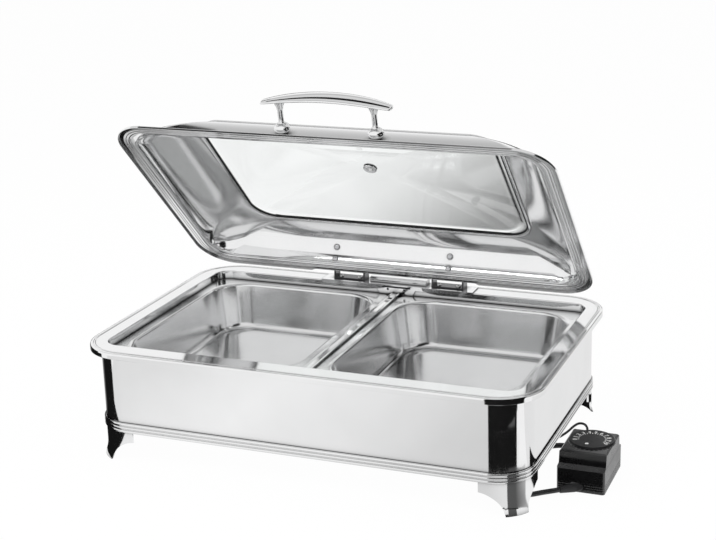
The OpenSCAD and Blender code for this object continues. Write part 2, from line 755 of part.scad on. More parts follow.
module hinge_cover() {
    half = hinge_spacing - bracket_half - 8;
    depth = plate_rear - bracket_front;
    wall = 1.5;
    high = 7;
    chamfer = 2;
    color(bright) translate([0, bracket_front, plate_top]) difference() {
        translate([-half, 0, 0]) cube([2 * half, depth, high]);
        translate([wall - half, wall, -1]) cube([2 * (half - wall), depth - 2 * wall, high - wall + 1]);
        translate([-half - 1, 0, high]) rotate([45, 0, 0])
            translate([0, -chamfer, -chamfer]) cube([2 * half + 2, 2 * chamfer, 2 * chamfer]);
    }
}

module hinge_screws() {
    color(steel) for (x = [-1, 1]) for (s = [-1, 1])
        translate([x * hinge_spacing + s * bracket_screw, screw_line, plate_top + bracket_floor])
            mirror([0, 0, 1]) head_down_screw(screw_radius, 3.6, 1.8, 8);
}

// arms of the hinge: a leaf along the lid's rear wall, a strap and a barrel on the pin
leaf_levels = [wall_base + 3, rivet_levels[1] + 5];
leaf_gap = 1.2;
leaf_sheet = 2.5;
function rear_wall(level) = lid_middle + lid_y - wall_foot - wall_inset(level - wall_base, reach_y);
rivet_rise = rivet_levels[1] - rivet_levels[0];
leaf_lean = atan((rear_wall(rivet_levels[0]) - rear_wall(rivet_levels[1])) / rivet_rise);
leaf_out = [cos(leaf_lean), sin(leaf_lean)];
leaf_along = [-sin(leaf_lean), cos(leaf_lean)];
leaf_foot = [rear_wall(rivet_levels[0]), lid_plane + rivet_levels[0]];
function leaf_point(level, out) =
    leaf_foot + leaf_along * ((level - rivet_levels[0]) / cos(leaf_lean)) + leaf_out * out;
rivet_span = rivet_rise / cos(leaf_lean);

module hinge_arm() {
    strap = 2.6;
    middle = (rivet_levels[0] + rivet_levels[1]) / 2;
    low = leaf_point(middle - strap, leaf_gap + leaf_sheet / 2);
    high = leaf_point(middle + strap, leaf_gap + leaf_sheet / 2);
    color(bright) difference() {
        translate([-arm_width / 2, 0, 0]) rotate([90, 0, 90]) linear_extrude(arm_width) difference() {
            union() {
                polygon([leaf_point(leaf_levels[0], leaf_gap), leaf_point(leaf_levels[1], leaf_gap),
                    leaf_point(leaf_levels[1], leaf_gap + leaf_sheet),
                    leaf_point(leaf_levels[0], leaf_gap + leaf_sheet)]);
                polygon([low, [hinge_y, hinge_z - strap], [hinge_y, hinge_z + strap], high]);
                translate([hinge_y, hinge_z]) circle(barrel_radius);
            }
            translate([hinge_y, hinge_z]) circle(pin_radius + pin_clearance);
        }
        for (k = [0, 1]) rivet_place(k)
            cylinder(r = rivet_radius + fit_gap, h = leaf_gap + 2 * leaf_sheet, $fn = 32);
    }
}

// puts its child on the rear wall at a rivet, with Z out of the lid
module rivet_place(k) {
    spot = leaf_foot + leaf_along * (k * rivet_span);
    translate([rivet_offset, spot.x, spot.y]) rotate([leaf_lean - 90, 0, 0]) children();
}

module hinge_arm_left() {
    lid_pose() mirror([1, 0, 0]) translate([hinge_spacing, 0, 0]) hinge_arm();
}

module hinge_arm_right() {
    lid_pose() translate([hinge_spacing, 0, 0]) hinge_arm();
}

module lid_rivets() {
    inner = lid_sheet + 0.5;
    outer = leaf_gap + leaf_sheet;
    head = 1.2;
    head_radius = rivet_radius + 1.8;
    color(bright) lid_pose() for (x = [0, 1]) for (k = [0, 1])
        mirror([x, 0, 0]) translate([hinge_spacing, 0, 0]) rivet_place(k) {
            translate([0, 0, -inner]) cylinder(r = rivet_radius, h = inner + outer, $fn = 32);
            translate([0, 0, -inner - head])
                cylinder(r1 = rivet_radius, r2 = head_radius, h = head, $fn = 32);
            translate([0, 0, outer]) cylinder(r1 = head_radius, r2 = rivet_radius, h = head, $fn = 32);
        }
}

// one ring of the lid, given by its insets from the outline and its level above the flange
lip_points = [for (side = [[1, 2], [1, 1], [-1, 1], [-1, 2]]) side[0] * (plate_half + side[1] * lip_fade)];
function lid_ring(in_x, in_y, corner, level, shift = 0) =
    [for (p = ring(lid_x - in_x, lid_y - in_y, corner, level, lip_points)) p + [0, shift, 0]];
// the turned-down edge stops short of the hinge plate
function lip_ring(inset, shown) = [for (p = lid_ring(inset, inset, lid_corner - inset, -lid_lip))
    p.y > lid_y - inset - 0.01 && abs(p.x) < plate_half + 1.5 * lip_fade ? [p.x, p.y, shown] : p];
function wall_ring(k, inward) =
    let (level = dome_height * (1 - cos(180 * k / wall_rows)) / 2, grow = inward * lid_sheet,
        front = front_inset(level), rear = wall_inset(level, reach_y))
    lid_ring(wall_foot + wall_inset(level, reach_x) + grow, wall_foot + (front + rear) / 2 + grow,
        wall_corner + (opening_corner + window_ledge - wall_corner) * k / wall_rows,
        wall_base + level - grow * pow(k / wall_rows, 2), (front - rear) / 2);

module lid_shell() {
    t = lid_sheet;
    color(bright) lid_pose() translate([0, lid_middle, lid_plane]) loft(concat(
        [lip_ring(0, -0.1), lid_ring(0, 0, lid_corner, t - 0.4), lid_ring(0.4, 0.4, lid_corner - 0.4, t),
         lid_ring(lid_flange, lid_flange, lid_corner - lid_flange, t),
         lid_ring(lid_flange + 1, lid_flange + 1, lid_corner - lid_flange - 1, wall_base)],
        [for (k = [0:wall_rows]) wall_ring(k, 0)],
        [lid_ring(lid_x - opening_x, lid_y - opening_y, opening_corner, dome_top),
         lid_ring(lid_x - opening_x, lid_y - opening_y, opening_corner, dome_top - t)],
        [for (k = [0:wall_rows]) wall_ring(wall_rows - k, 1)],
        [lid_ring(lid_flange + 1 + t, lid_flange + 1 + t, lid_corner - lid_flange - 1 - t, wall_base - t),
         lid_ring(lid_flange + t, lid_flange + t, lid_corner - lid_flange - t, 0),
         lid_ring(t, t, lid_corner - t, 0), lip_ring(t, -0.05)]), looped = true, split = true);
}

module window_place() {
    lid_pose() translate([0, lid_middle, lid_plane]) children();
}

module window_glass() {
    edge_x = opening_x - small_gap;
    edge_y = opening_y - small_gap;
    edge_corner = opening_corner - small_gap;
    thin = glass_thickness - glass_edge;
    hole = vent_hole / 2;
    shares = [1, glass_margin, 0.92, 0.82, 0.69, 0.55, 0.41, 0.27, 0.13, 0];
    color(clear) window_place() loft([
        for (side = [0, 1]) for (i = [0:len(shares) - 1]) let (
                s = shares[side == 0 ? i : len(shares) - 1 - i],
                rise = glass_rise * (1 - pow(min(1, s / glass_margin), 2)))
            ring(hole + (edge_x - hole) * s, hole + (edge_y - hole) * s, hole + (edge_corner - hole) * s,
                glass_base + rise + (side == 0 ? glass_thickness - (s < glass_margin ? 0 : thin) : 0))],
        looped = true, split = true);
}

module window_gasket() {
    color(black) window_place()
        band(window_length, window_depth, window_corner, 0, window_edge - 2 * fit_gap,
            dome_top - lid_sheet, glass_base);
}

module window_bezel() {
    seat = glass_base + glass_edge + fit_gap;
    outer = window_edge + window_ledge - 0.5;
    color(bright) window_place() {
        band(window_length, window_depth, window_corner, window_edge + 0.5, outer,
            dome_top, seat + fit_gap);
        band(window_length, window_depth, window_corner, 0.5, outer, seat, seat + bezel_sheet);
    }
}

module window_retainer() {
    high = dome_top - lid_sheet;
    low = high - retainer_sheet;
    step = 0.7;
    outer = window_edge + window_ledge - 1.8;
    color(bright) window_place() {
        band(window_length, window_depth, window_corner, 2.2, outer, low + step, high);
        band(window_length, window_depth, window_corner, 3.6, outer - 1, low, low + 2 * step);
    }
}

// steam vent in the middle of the glass: a flanged eyelet
module vent_ring() {
    hole = vent_hole / 2;
    low = glass_base + glass_rise;
    flange = 3;
    lip = 1.6;
    color(bright) window_place() translate([0, 0, low]) rotate_extrude()
        polygon([[hole - 2, -lip - small_gap], [hole + flange - 0.6, -lip - small_gap],
            [hole + flange, -lip + 0.3], [hole + flange, -small_gap], [hole - 0.2, -small_gap],
            [hole - 0.2, glass_thickness + 0.2],
            [hole + flange, glass_thickness + 0.2], [hole + flange, glass_thickness + lip - 0.5],
            [hole + flange - 0.6, glass_thickness + lip], [hole - 2, glass_thickness + lip]]);
}

// puts its child on the front wall of the lid, with Z out of the wall and X to the right
module handle_place() {
    lid_pose() translate([0, lid_middle - lid_y + handle_inset, lid_plane + handle_level])
        rotate([90 - handle_lean, 0, 0]) children();
}

// arched grip: rings of an ellipse that is widest in the middle and comes to narrow ends
module handle_grip() {
    stations = 20;
    sides = 16;
    color(bright) handle_place() loft([for (i = [0:stations]) let (
            s = -1 + 2 * i / stations, full = sqrt(1 - 0.94 * s * s),
            wide = grip_width / 2 * (0.25 + 0.75 * full), thick = grip_thickness / 2 * (0.35 + 0.65 * full),
            middle = grip_level + grip_arch * (pow(handle_spacing / grip_length, 2) - s * s))
        [for (j = [0:sides - 1]) let (a = 360 * j / sides)
            [s * grip_length / 2, wide * cos(a), middle + thick * sin(a)]]]);
}

module handle_posts() {
    seat = 0.2;
    foot = 10.5;
    color(bright) handle_place() for (x = [-1, 1])
        translate([x * handle_spacing / 2, 0, 0]) rotate_extrude() polygon(concat(
            [[0, seat], [foot - 1.5, seat]],
            [for (a = [-60:15:75]) [foot * cos(a), 6 + 6 * sin(a)]],
            [[post_radius, 13], [post_radius, post_height - 12], [post_radius + 0.8, post_height - 8],
             [post_radius + 2.4, post_height - 4], [post_radius + 4, post_height], [0, post_height]]));
}

// screws from inside the lid that hold the posts
module handle_screws() {
    color(steel) handle_place() for (x = [-1, 1]) translate([x * handle_spacing / 2, 0, 0]) {
        translate([0, 0, -lid_sheet - 3]) cylinder(r1 = 3.4, r2 = 5, h = 2.4);
        translate([0, 0, -lid_sheet - 0.6]) cylinder(r = 2, h = lid_sheet + 0.7);
    }
}

// control box: plan, long side and end views of its outside, or of its inside when shrunk by the wall
module box_form(shrink, low, high) {
    w = box_width / 2 - shrink;
    l = box_length / 2 - shrink;
    top = box_height - shrink;
    back = box_length / 2 - box_setback - shrink;
    waist = waist_height - shrink / 2;
    side = w - box_taper;
    translate([box_x, box_y, 0]) intersection() {
        translate([0, 0, low]) linear_extrude(high - low) rounded(2 * w, 2 * l, box_corner - shrink);
        translate([-w - 1, 0, 0]) rotate([90, 0, 90]) linear_extrude(2 * w + 2)
            polygon([[-l, -1], [l, -1], [l, waist], [back + 4, waist + waist_step], [back + 1.5, top - 2],
                [back - 0.5, top], [0.5 - back, top], [-back - 1.5, top - 2],
                [-back - 4, waist + waist_step], [-l, waist]]);
        translate([0, l + 1, 0]) rotate([90, 0, 0]) linear_extrude(2 * l + 2)
            polygon([[-w, -1], [w, -1], [w, waist_height], [side, waist_height + waist_step],
                [side, top - 2], [side - 2, top], [2 - side, top], [-side, top - 2],
                [-side, waist_height + waist_step], [-w, waist_height]]);
    }
}

box_screw_x = box_width / 2 - 8;
box_screw_y = box_length / 2 - 8;

// puts its children at the four screws of the box, with X outward
module box_corners(level) {
    for (x = [0, 1], y = [-1, 1]) translate([box_x, box_y + y * box_screw_y, level]) mirror([x, 0, 0])
        translate([box_screw_x, 0, 0]) children();
}

module box_tray() {
    rib = 0.8;
    color(black) difference() {
        box_form(0, 0, tray_height);
        box_form(box_wall, box_wall, tray_height + 1);
        for (z = [3, 6, 9]) translate([box_x, box_y, z]) linear_extrude(1) difference() {
            square([box_width + 2, box_length + 2], center = true);
            rounded(box_width - 2 * rib, box_length - 2 * rib, box_corner - rib);
        }
        box_corners(-1) {
            cylinder(r = 1.6, h = box_wall + 2, $fn = 24);
            cylinder(r = 3.2, h = 1 + 0.8 * box_wall, $fn = 24);
        }
        relief_shape(fit_gap);
    }
}

module box_cover() {
    color(black) difference() {
        box_form(0, tray_height, box_height);
        difference() {
            box_form(box_wall, tray_height - 1, box_height - box_wall);
            box_corners(tray_height + 0.5) box_boss();
        }
        box_corners(tray_height - 1) cylinder(r = 1.6, h = 11, $fn = 24);
        translate([dial_x, box_y, box_height - box_wall - 1])
            cylinder(r = shaft_radius + 1.5, h = box_wall + 2);
        translate([heater_in.x - 2, heater_in.y, heater_in.z]) rotate([0, 90, 0])
            cylinder(r = lead_diameter / 2 + 2 + fit_gap, h = box_wall + 4, $fn = 32);
        translate([sensor_in.x, sensor_in.y + 3, sensor_in.z]) rotate([90, 0, 0])
            cylinder(r = sensor_diameter / 2 + 1.5 + fit_gap, h = box_wall + 6, $fn = 32);
        relief_shape(fit_gap);
    }
}

// screw boss in a corner of the cover, joined to the side wall
module box_boss() {
    cylinder(r = 4, h = 14);
    translate([0, -1.5, 0]) cube([8, 3, 14]);
}

module box_screws() {
    color(steel) box_corners(0.8 * box_wall) {
        translate([0, 0, -1.2]) cylinder(r = 3, h = 1.2, $fn = 24);
        cylinder(r = 1.5, h = tray_height + 6, $fn = 24);
    }
}

// grommets where the heater lead and the sensor lead enter the box
module box_grommets() {
    color(black) {
        translate(heater_in) rotate([0, 90, 0]) grommet(lead_diameter);
        translate(sensor_in) rotate([90, 0, 0]) grommet(sensor_diameter);
    }
}

// Z points into the box, and the lead ends at the outer face
module grommet(lead) {
    rim = lead > 4 ? 2 : 1.5;
    cylinder(r = lead / 2 + rim, h = box_wall + 1.5, $fn = 32);
}

module thermostat_body() {
    size = 36;
    high = 22;
    color(steel) translate([dial_x, box_y, box_height - box_wall - high]) difference() {
        translate([-size / 2, -size / 2, 0]) cube([size, size, high]);
        translate([0, 0, 8]) cylinder(r = shaft_radius + shaft_play, h = high);
    }
}

module dial_shaft() {
    color(steel) translate([dial_x, box_y, box_height - box_wall - 13])
        cylinder(r = shaft_radius, h = 13 + box_wall + dial_gap + dial_height - 2);
}

// round dial: a flat disc with a fluted side, a chamfer and a shallow dish on top
module dial() {
    flutes = 30;
    dish = 0.5;
    color(black) translate([dial_x, box_y, dial_base]) difference() {
        rotate_extrude() polygon([[0, 0], [dial_radius, 0], [dial_radius, dial_height - 1.5],
            [dial_radius - 1.5, dial_height], [dial_radius - 4, dial_height],
            [dial_radius - 5, dial_height - dish], [0, dial_height - dish]]);
        translate([0, 0, -1]) cylinder(r = shaft_radius + shaft_play, h = dial_height - 1);
        for (i = [0:flutes - 1]) rotate([0, 0, 360 * i / flutes]) translate([dial_radius + 0.6, 0, -1])
            cylinder(r = 1.4, h = dial_height - 1, $fn = 16);
    }
}

module heater_lead() {
    color(black) tube(heater_route, lead_diameter, 10);
}

module sensor_lead() {
    color(black) tube(sensor_route, sensor_diameter, 8);
}

// tapered strain relief, set at an angle in the front wall of the box
module relief_shape(grow) {
    translate(relief_face) rotate([90, 0, -relief_angle])
        rotate_extrude($fn = 48) polygon([[0, -12], [relief_root + grow, -12], [relief_root + grow, 3],
            [relief_tip + grow, relief_length], [0, relief_length]]);
}

module mains_relief() {
    color(black) difference() {
        relief_shape(0);
        translate([box_x - box_width, relief_face.y + box_wall, 0]) cube([2 * box_width, 40, 30]);
    }
}

module mains_cord() {
    color(black) tube(mains_route, cord_diameter, 10);
}

module cord_coil() {
    color(black) tube(coil_path, cord_diameter, coil_sides, [-1, 0, 0], [1, 0, 0]);
}

module cord_tail() {
    color(black) tube(tail_route, cord_diameter, 10);
}

// moulded plug: a ribbed relief that widens into a round-cornered body
module plug_body() {
    collars = 4;
    pitch = plug_relief / collars;
    color(black) translate(plug_spot) rotate([0, 90, 0]) {
        rotate_extrude($fn = 48) polygon(concat([[0, 0]],
            [for (k = [0:collars - 1]) for (q = [0, 1])
                [relief_tip + 0.7 * k - 0.5 * q + 0.5, pitch * (k + 0.55 * q)]],
            [[8, plug_relief], [0, plug_relief]]));
        translate([0, 0, plug_relief]) linear_extrude(plug_long)
            rounded(2 * plug_half, 2 * plug_half + 4, 6);
    }
}

// two flat blades and a round earth pin
module plug_pins() {
    blade = [18, 1.5, 6.4];
    color(steel) translate(plug_spot + [plug_relief + plug_long, 0, 0]) {
        for (y = [-1, 1]) translate([0, y * 6.35 - blade.y / 2, -1]) cube(blade);
        translate([0, 0, -8]) rotate([0, 90, 0]) cylinder(r = 2.4, h = 20, $fn = 32);
    }
}

casing();
base_band();
bottom_plate();
foot_front_left();
foot_front_right();
foot_rear_left();
foot_rear_right();
bottom_screws();
water_pan();
food_pan_left();
food_pan_right();
divider_bar();
heater_plate();
heater_element();
heater_clamp();
heater_nuts();
thermal_cutout();
sensor_bulb();
terminal_block();
heater_outlet();
sensor_grommet();
hinge_base();
hinge_bracket_left();
hinge_bracket_right();
hinge_pins();
hinge_cover();
hinge_screws();
hinge_arm_left();
hinge_arm_right();
lid_rivets();
lid_shell();
window_glass();
window_gasket();
window_bezel();
window_retainer();
vent_ring();
handle_grip();
handle_posts();
handle_screws();
box_tray();
box_cover();
box_screws();
box_grommets();
thermostat_body();
dial_shaft();
dial();
heater_lead();
sensor_lead();
mains_relief();
mains_cord();
cord_coil();
cord_tail();
plug_body();
plug_pins();
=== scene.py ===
"""Looks of an electric chafing dish: polished sheet steel, window lid, food pans, control box and leads."""

import math

import bmesh
import bpy
from mathutils import Matrix, Vector


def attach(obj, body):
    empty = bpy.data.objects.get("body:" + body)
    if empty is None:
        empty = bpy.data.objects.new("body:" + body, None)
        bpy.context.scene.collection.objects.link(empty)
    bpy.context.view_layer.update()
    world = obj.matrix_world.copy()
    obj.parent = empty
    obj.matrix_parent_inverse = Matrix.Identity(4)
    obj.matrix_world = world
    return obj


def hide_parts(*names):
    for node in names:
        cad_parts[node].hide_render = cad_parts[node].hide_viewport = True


bl_info = {
    "name": "Electric chafing dish",
    "version": (1, 0, 0),
    "blender": (4, 5, 0),
    "location": "View3D > Sidebar > Dish",
    "description": "Dresses the solids of an electric chafing dish with finished pieces and materials",
    "category": "Object",
}

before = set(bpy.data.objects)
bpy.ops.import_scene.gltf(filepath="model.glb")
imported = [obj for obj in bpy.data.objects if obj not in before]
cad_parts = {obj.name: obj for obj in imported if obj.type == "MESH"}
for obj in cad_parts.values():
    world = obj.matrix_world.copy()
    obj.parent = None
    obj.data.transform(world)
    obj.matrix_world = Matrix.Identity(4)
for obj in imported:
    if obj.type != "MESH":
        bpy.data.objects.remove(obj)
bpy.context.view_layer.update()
MM = 0.001

# Levels in millimetres and plans as half length, half depth and corner radius, as in the part's source
FOOT = 40.0
BASE_TOP = 147.3
RIM_TOP = 148.5
LEDGE_TOP = 135.5
PAN_TOP = 136.5
WATER_BOTTOM = 59.8
CASING = (280.0, 179.0, 44.0)
CASING_SHEET = 1.2
BAND_HEIGHT = 13.0
BAND_OUT = 2.5
BEAD_RADIUS = 1.75
BEAD_PITCH = 4.3
RECESS = (269.0, 162.0, 19.5)
RIM = (293.5, 192.5, 57.5)
RIM_EDGE = 7.5
RIM_BEAD = 0.7
WATER_OPENING = (RECESS[0] - 12, RECESS[1] - 12, 30.0)
PAN_PITCH = 273.6
PAN_OPENING = (117.5, 147.5, 46.0)
PAN_FLANGE = (130.5, 160.5, 18.0)
PAN_DEPTH = 62.0
PAN_SHEET = 1.0
LID = (284.0, 173.0, 48.0)
LID_MIDDLE = -7.5
LID_PLANE = 151.3
LID_SHEET = 1.0
LID_LIP = 2.5
LID_FLANGE = 14.0
LID_BEADS = (8.2, 11.8)
WALL_FOOT = 20.0
WALL_BASE = 2.4
WALL_STEPS = 26
DOME_HEIGHT = 44.5
DOME_TOP = WALL_BASE + DOME_HEIGHT
WALL_TURN = 67.0
STRAIGHT_SHARE = 0.9
OPENING = (200.0, 117.0, 36.0)
WINDOW = (196.0, 113.0, 32.0)
WINDOW_LEDGE = 3.5
REACH_X = LID[0] - WALL_FOOT - OPENING[0] - WINDOW_LEDGE
REACH_Y = LID[1] - WALL_FOOT - OPENING[1] - WINDOW_LEDGE
WALL_CORNER = LID[2] - WALL_FOOT + 4
PLATE_HALF = 110.0
HINGE = (0.0, 177.0, 173.0)
HINGE_SPACING = 72.0
HINGE_SCREW_REACH = 14.0
RIVET_LEVELS = (8.0, 24.0)
RIVET_REACH = 10.0
GLASS_BASE = DOME_TOP - LID_SHEET + 0.8
GLASS_RISE = 18.0
GLASS_HOLE = 6.0
GLASS_MARGIN = 0.96
HANDLE_LEVEL = 22.0
HANDLE_SPACING = 122.0
POST_HEIGHT = 43.0
POST_RADIUS = 3.4
GRIP = (168.0, 32.0, 8.0)
GRIP_ARCH = 9.5
BOX = (322.0, -43.0)
DIAL = (325.0, -43.0)
DIAL_FACE = 50.0
FIGURE_CIRCLE = 20.4

# Corner feet: wings, sheet, flared toe and the arch between toe and wings
FOOT_WING = 11.0
FOOT_SHEET = 2.5
FOOT_EDGE = 0.3
FOOT_LEVELS = 12
FOOT_GAP = 0.5
FLARE = 4.0
FLARE_POWER = 2.4
WAIST = 0.55 * FOOT
ARCH_RADIUS, ARCH_MIDDLE, ARCH_SINK = 37.0, 57.62, 10.0

# Camera of the photograph: angles in degrees, lengths in metres, the picture in pixels
VIEW_TURN, VIEW_RISE, VIEW_ROLL = 21.31, 16.31, -1.36
VIEW_FAR = 1.95319
VIEW_TARGET = (0.0251, 0.06627, 0.23103)
PICTURE_WIDTH, FOCAL_LENGTH = 716.0, 1507.08
PICTURE_SHIFT = (-29.09, -21.13)
SENSOR_WIDTH = 36.0

HINGE_SPOT = Matrix.Translation(HINGE)
LID_POSE = HINGE_SPOT @ Matrix.Rotation(math.radians(-45), 4, "X") @ Matrix.Translation(-Vector(HINGE))
LID_PLACE = LID_POSE @ Matrix.Translation((0, LID_MIDDLE, LID_PLANE))


def colour_property(name, about, value):
    return bpy.props.FloatVectorProperty(name=name, description=about, subtype="COLOR", default=value)


def length_property(name, about, value):
    return bpy.props.FloatProperty(name=name, description=about, unit="LENGTH", default=value)


def count_property(name, about, low, high, value):
    return bpy.props.IntProperty(name=name, description=about, min=low, max=high, default=value)


class DishFinishes(bpy.types.PropertyGroup):
    """Colours and gloss of the dish."""

    steel: colour_property("Polished steel", "Colour of the polished sheet steel", (0.86, 0.862, 0.865))
    satin: colour_property("Satin steel", "Colour of the pans and plain fittings", (0.8, 0.803, 0.806))
    plastic: colour_property("Black plastic", "Colour of the control box", (0.005, 0.005, 0.0055))
    rubber: colour_property("Rubber", "Colour of gaskets and reliefs", (0.014, 0.014, 0.015))
    marks: colour_property("Dial marks", "Colour of the printed marks", (0.9, 0.9, 0.89))
    floor: colour_property("Floor", "Colour of the floor", (0.92, 0.92, 0.92))
    polish: bpy.props.FloatProperty(
        name="Polish", description="Roughness of the polished steel", subtype="FACTOR", min=0.0, max=1.0, default=0.07
    )


class DishSizes(bpy.types.PropertyGroup):
    """Sizes that the looks may change without leaving the solids."""

    corner_steps: count_property("Corner steps", "Points on each rounded corner of a drawn sheet", 6, 40, 22)
    bend_steps: count_property("Bend steps", "Points across each folded edge", 2, 8, 4)
    cord: length_property("Mains cord", "Diameter of the mains cord", 0.0062)
    heater_lead: length_property("Heater lead", "Diameter of the heater lead", 0.0065)
    sensor_lead: length_property("Sensor lead", "Diameter of the sensor lead", 0.003)
    mark_radius: length_property("Mark circle", "Radius of the arc of marks on the dial", 0.0165)
    mark_count: count_property("Marks", "Number of marks on the dial", 3, 41, 21)
    figure_height: length_property("Figures", "Height of the figures on the dial", 0.0052)
    mark_width: length_property("Mark width", "Width of a dial mark", 0.0008)


def finishes():
    return bpy.context.scene.dish_finishes


def sizes():
    return bpy.context.scene.dish_sizes


# Materials
def new_material(name):
    material = bpy.data.materials.new(name)
    material.use_nodes = True
    return material, material.node_tree, material.node_tree.nodes["Principled BSDF"]


def set_inputs(node, values):
    for name, value in values.items():
        node.inputs[name].default_value = value
    return node


def grain(tree, scale, detail, stretch=(1, 1, 1)):
    """A noise on the piece's own coordinates, stretched along the way of polishing or brushing."""
    place = tree.nodes.new("ShaderNodeTexCoord")
    mapping = set_inputs(tree.nodes.new("ShaderNodeMapping"), {"Scale": stretch})
    noise = set_inputs(tree.nodes.new("ShaderNodeTexNoise"), {"Scale": scale, "Detail": detail, "Roughness": 0.55})
    tree.links.new(place.outputs["Object"], mapping.inputs["Vector"])
    tree.links.new(mapping.outputs["Vector"], noise.inputs["Vector"])
    return noise.outputs["Fac"]


NOISE_LOW, NOISE_HIGH = 0.3, 0.7
GLOSS_LOW, GLOSS_HIGH = 0.85, 1.15


def spread(tree, value, low, high):
    """Maps a noise onto a range of numbers."""
    node = set_inputs(tree.nodes.new("ShaderNodeMapRange"), {
        "From Min": NOISE_LOW, "From Max": NOISE_HIGH, "To Min": low, "To Max": high})
    tree.links.new(value, node.inputs["Value"])
    return node.outputs["Result"]


def shades(tree, value, colour, low, high):
    """Varies a colour between two brightnesses."""
    ramp = tree.nodes.new("ShaderNodeValToRGB")
    for stop, place, light in zip(ramp.color_ramp.elements, (NOISE_LOW, NOISE_HIGH), (low, high)):
        stop.position = place
        stop.color = (*[min(1.0, c * light) for c in colour], 1)
    tree.links.new(value, ramp.inputs["Fac"])
    return ramp.outputs["Color"]


def relief(tree, shader, value, depth, strength):
    bump = set_inputs(tree.nodes.new("ShaderNodeBump"), {"Strength": strength, "Distance": depth})
    tree.links.new(value, bump.inputs["Height"])
    tree.links.new(bump.outputs["Normal"], shader.inputs["Normal"])


def crevices(tree, colour, reach):
    """Darkens a colour in seams and corners by ambient occlusion, most of all in narrow ones: painted shade."""
    for distance in (reach, reach / 2):
        node = set_inputs(tree.nodes.new("ShaderNodeAmbientOcclusion"), {"Distance": distance})
        node.samples = 8
        tree.links.new(colour, node.inputs["Color"])
        colour = node.outputs["Color"]
    return colour


def metal(name, colour, gloss, stretch, wander=0.02, fine=700.0, depth=0.000006, crevice_shade_reach=0.01):
    """Steel with polishing lines in one direction, faint wipe marks, a varying gloss and painted shade in its seams
    and corners.
    """
    material, tree, shader = new_material(name)
    shader.inputs["Metallic"].default_value = 1.0
    wipes = grain(tree, 14.0, 3.0)
    lines = grain(tree, fine, 2.0, stretch)
    wiped = shades(tree, wipes, colour, 1 - wander, 1 + wander)
    # Painted shade: ambient occlusion darkens the base colour where surfaces meet closely.
    tree.links.new(crevices(tree, wiped, crevice_shade_reach), shader.inputs["Base Color"])
    tree.links.new(spread(tree, lines, gloss * GLOSS_LOW, gloss * GLOSS_HIGH), shader.inputs["Roughness"])
    relief(tree, shader, lines, depth, 0.1)
    return material


def moulded(name, colour, gloss, scale=1400.0, depth=0.00006, shine=0.5, bloom=0.0):
    """Moulded plastic or rubber with a fine spark-eroded grain and rubbed, shinier patches."""
    material, tree, shader = new_material(name)
    rub = grain(tree, 35.0, 3.0)
    pores = grain(tree, scale, 2.0)
    tree.links.new(shades(tree, rub, colour, 0.85, 1.25), shader.inputs["Base Color"])
    tree.links.new(spread(tree, rub, gloss * GLOSS_LOW, gloss * GLOSS_HIGH), shader.inputs["Roughness"])
    set_inputs(shader, {"Specular IOR Level": shine, "Sheen Weight": bloom, "Sheen Roughness": 0.35})
    relief(tree, shader, pores, depth, 0.35)
    return material


def glass_material(name):
    material, tree, shader = new_material(name)
    set_inputs(shader, {"Base Color": (0.97, 0.985, 0.98, 1), "Transmission Weight": 1.0, "IOR": 1.45})
    tree.links.new(spread(tree, grain(tree, 9.0, 4.0), 0.0, 0.03), shader.inputs["Roughness"])
    return material


def mark_material(name, colour):
    material, tree, shader = new_material(name)
    tree.links.new(shades(tree, grain(tree, 2600.0, 2.0), colour, 0.9, 1.05), shader.inputs["Base Color"])
    shader.inputs["Roughness"].default_value = 0.5
    return material


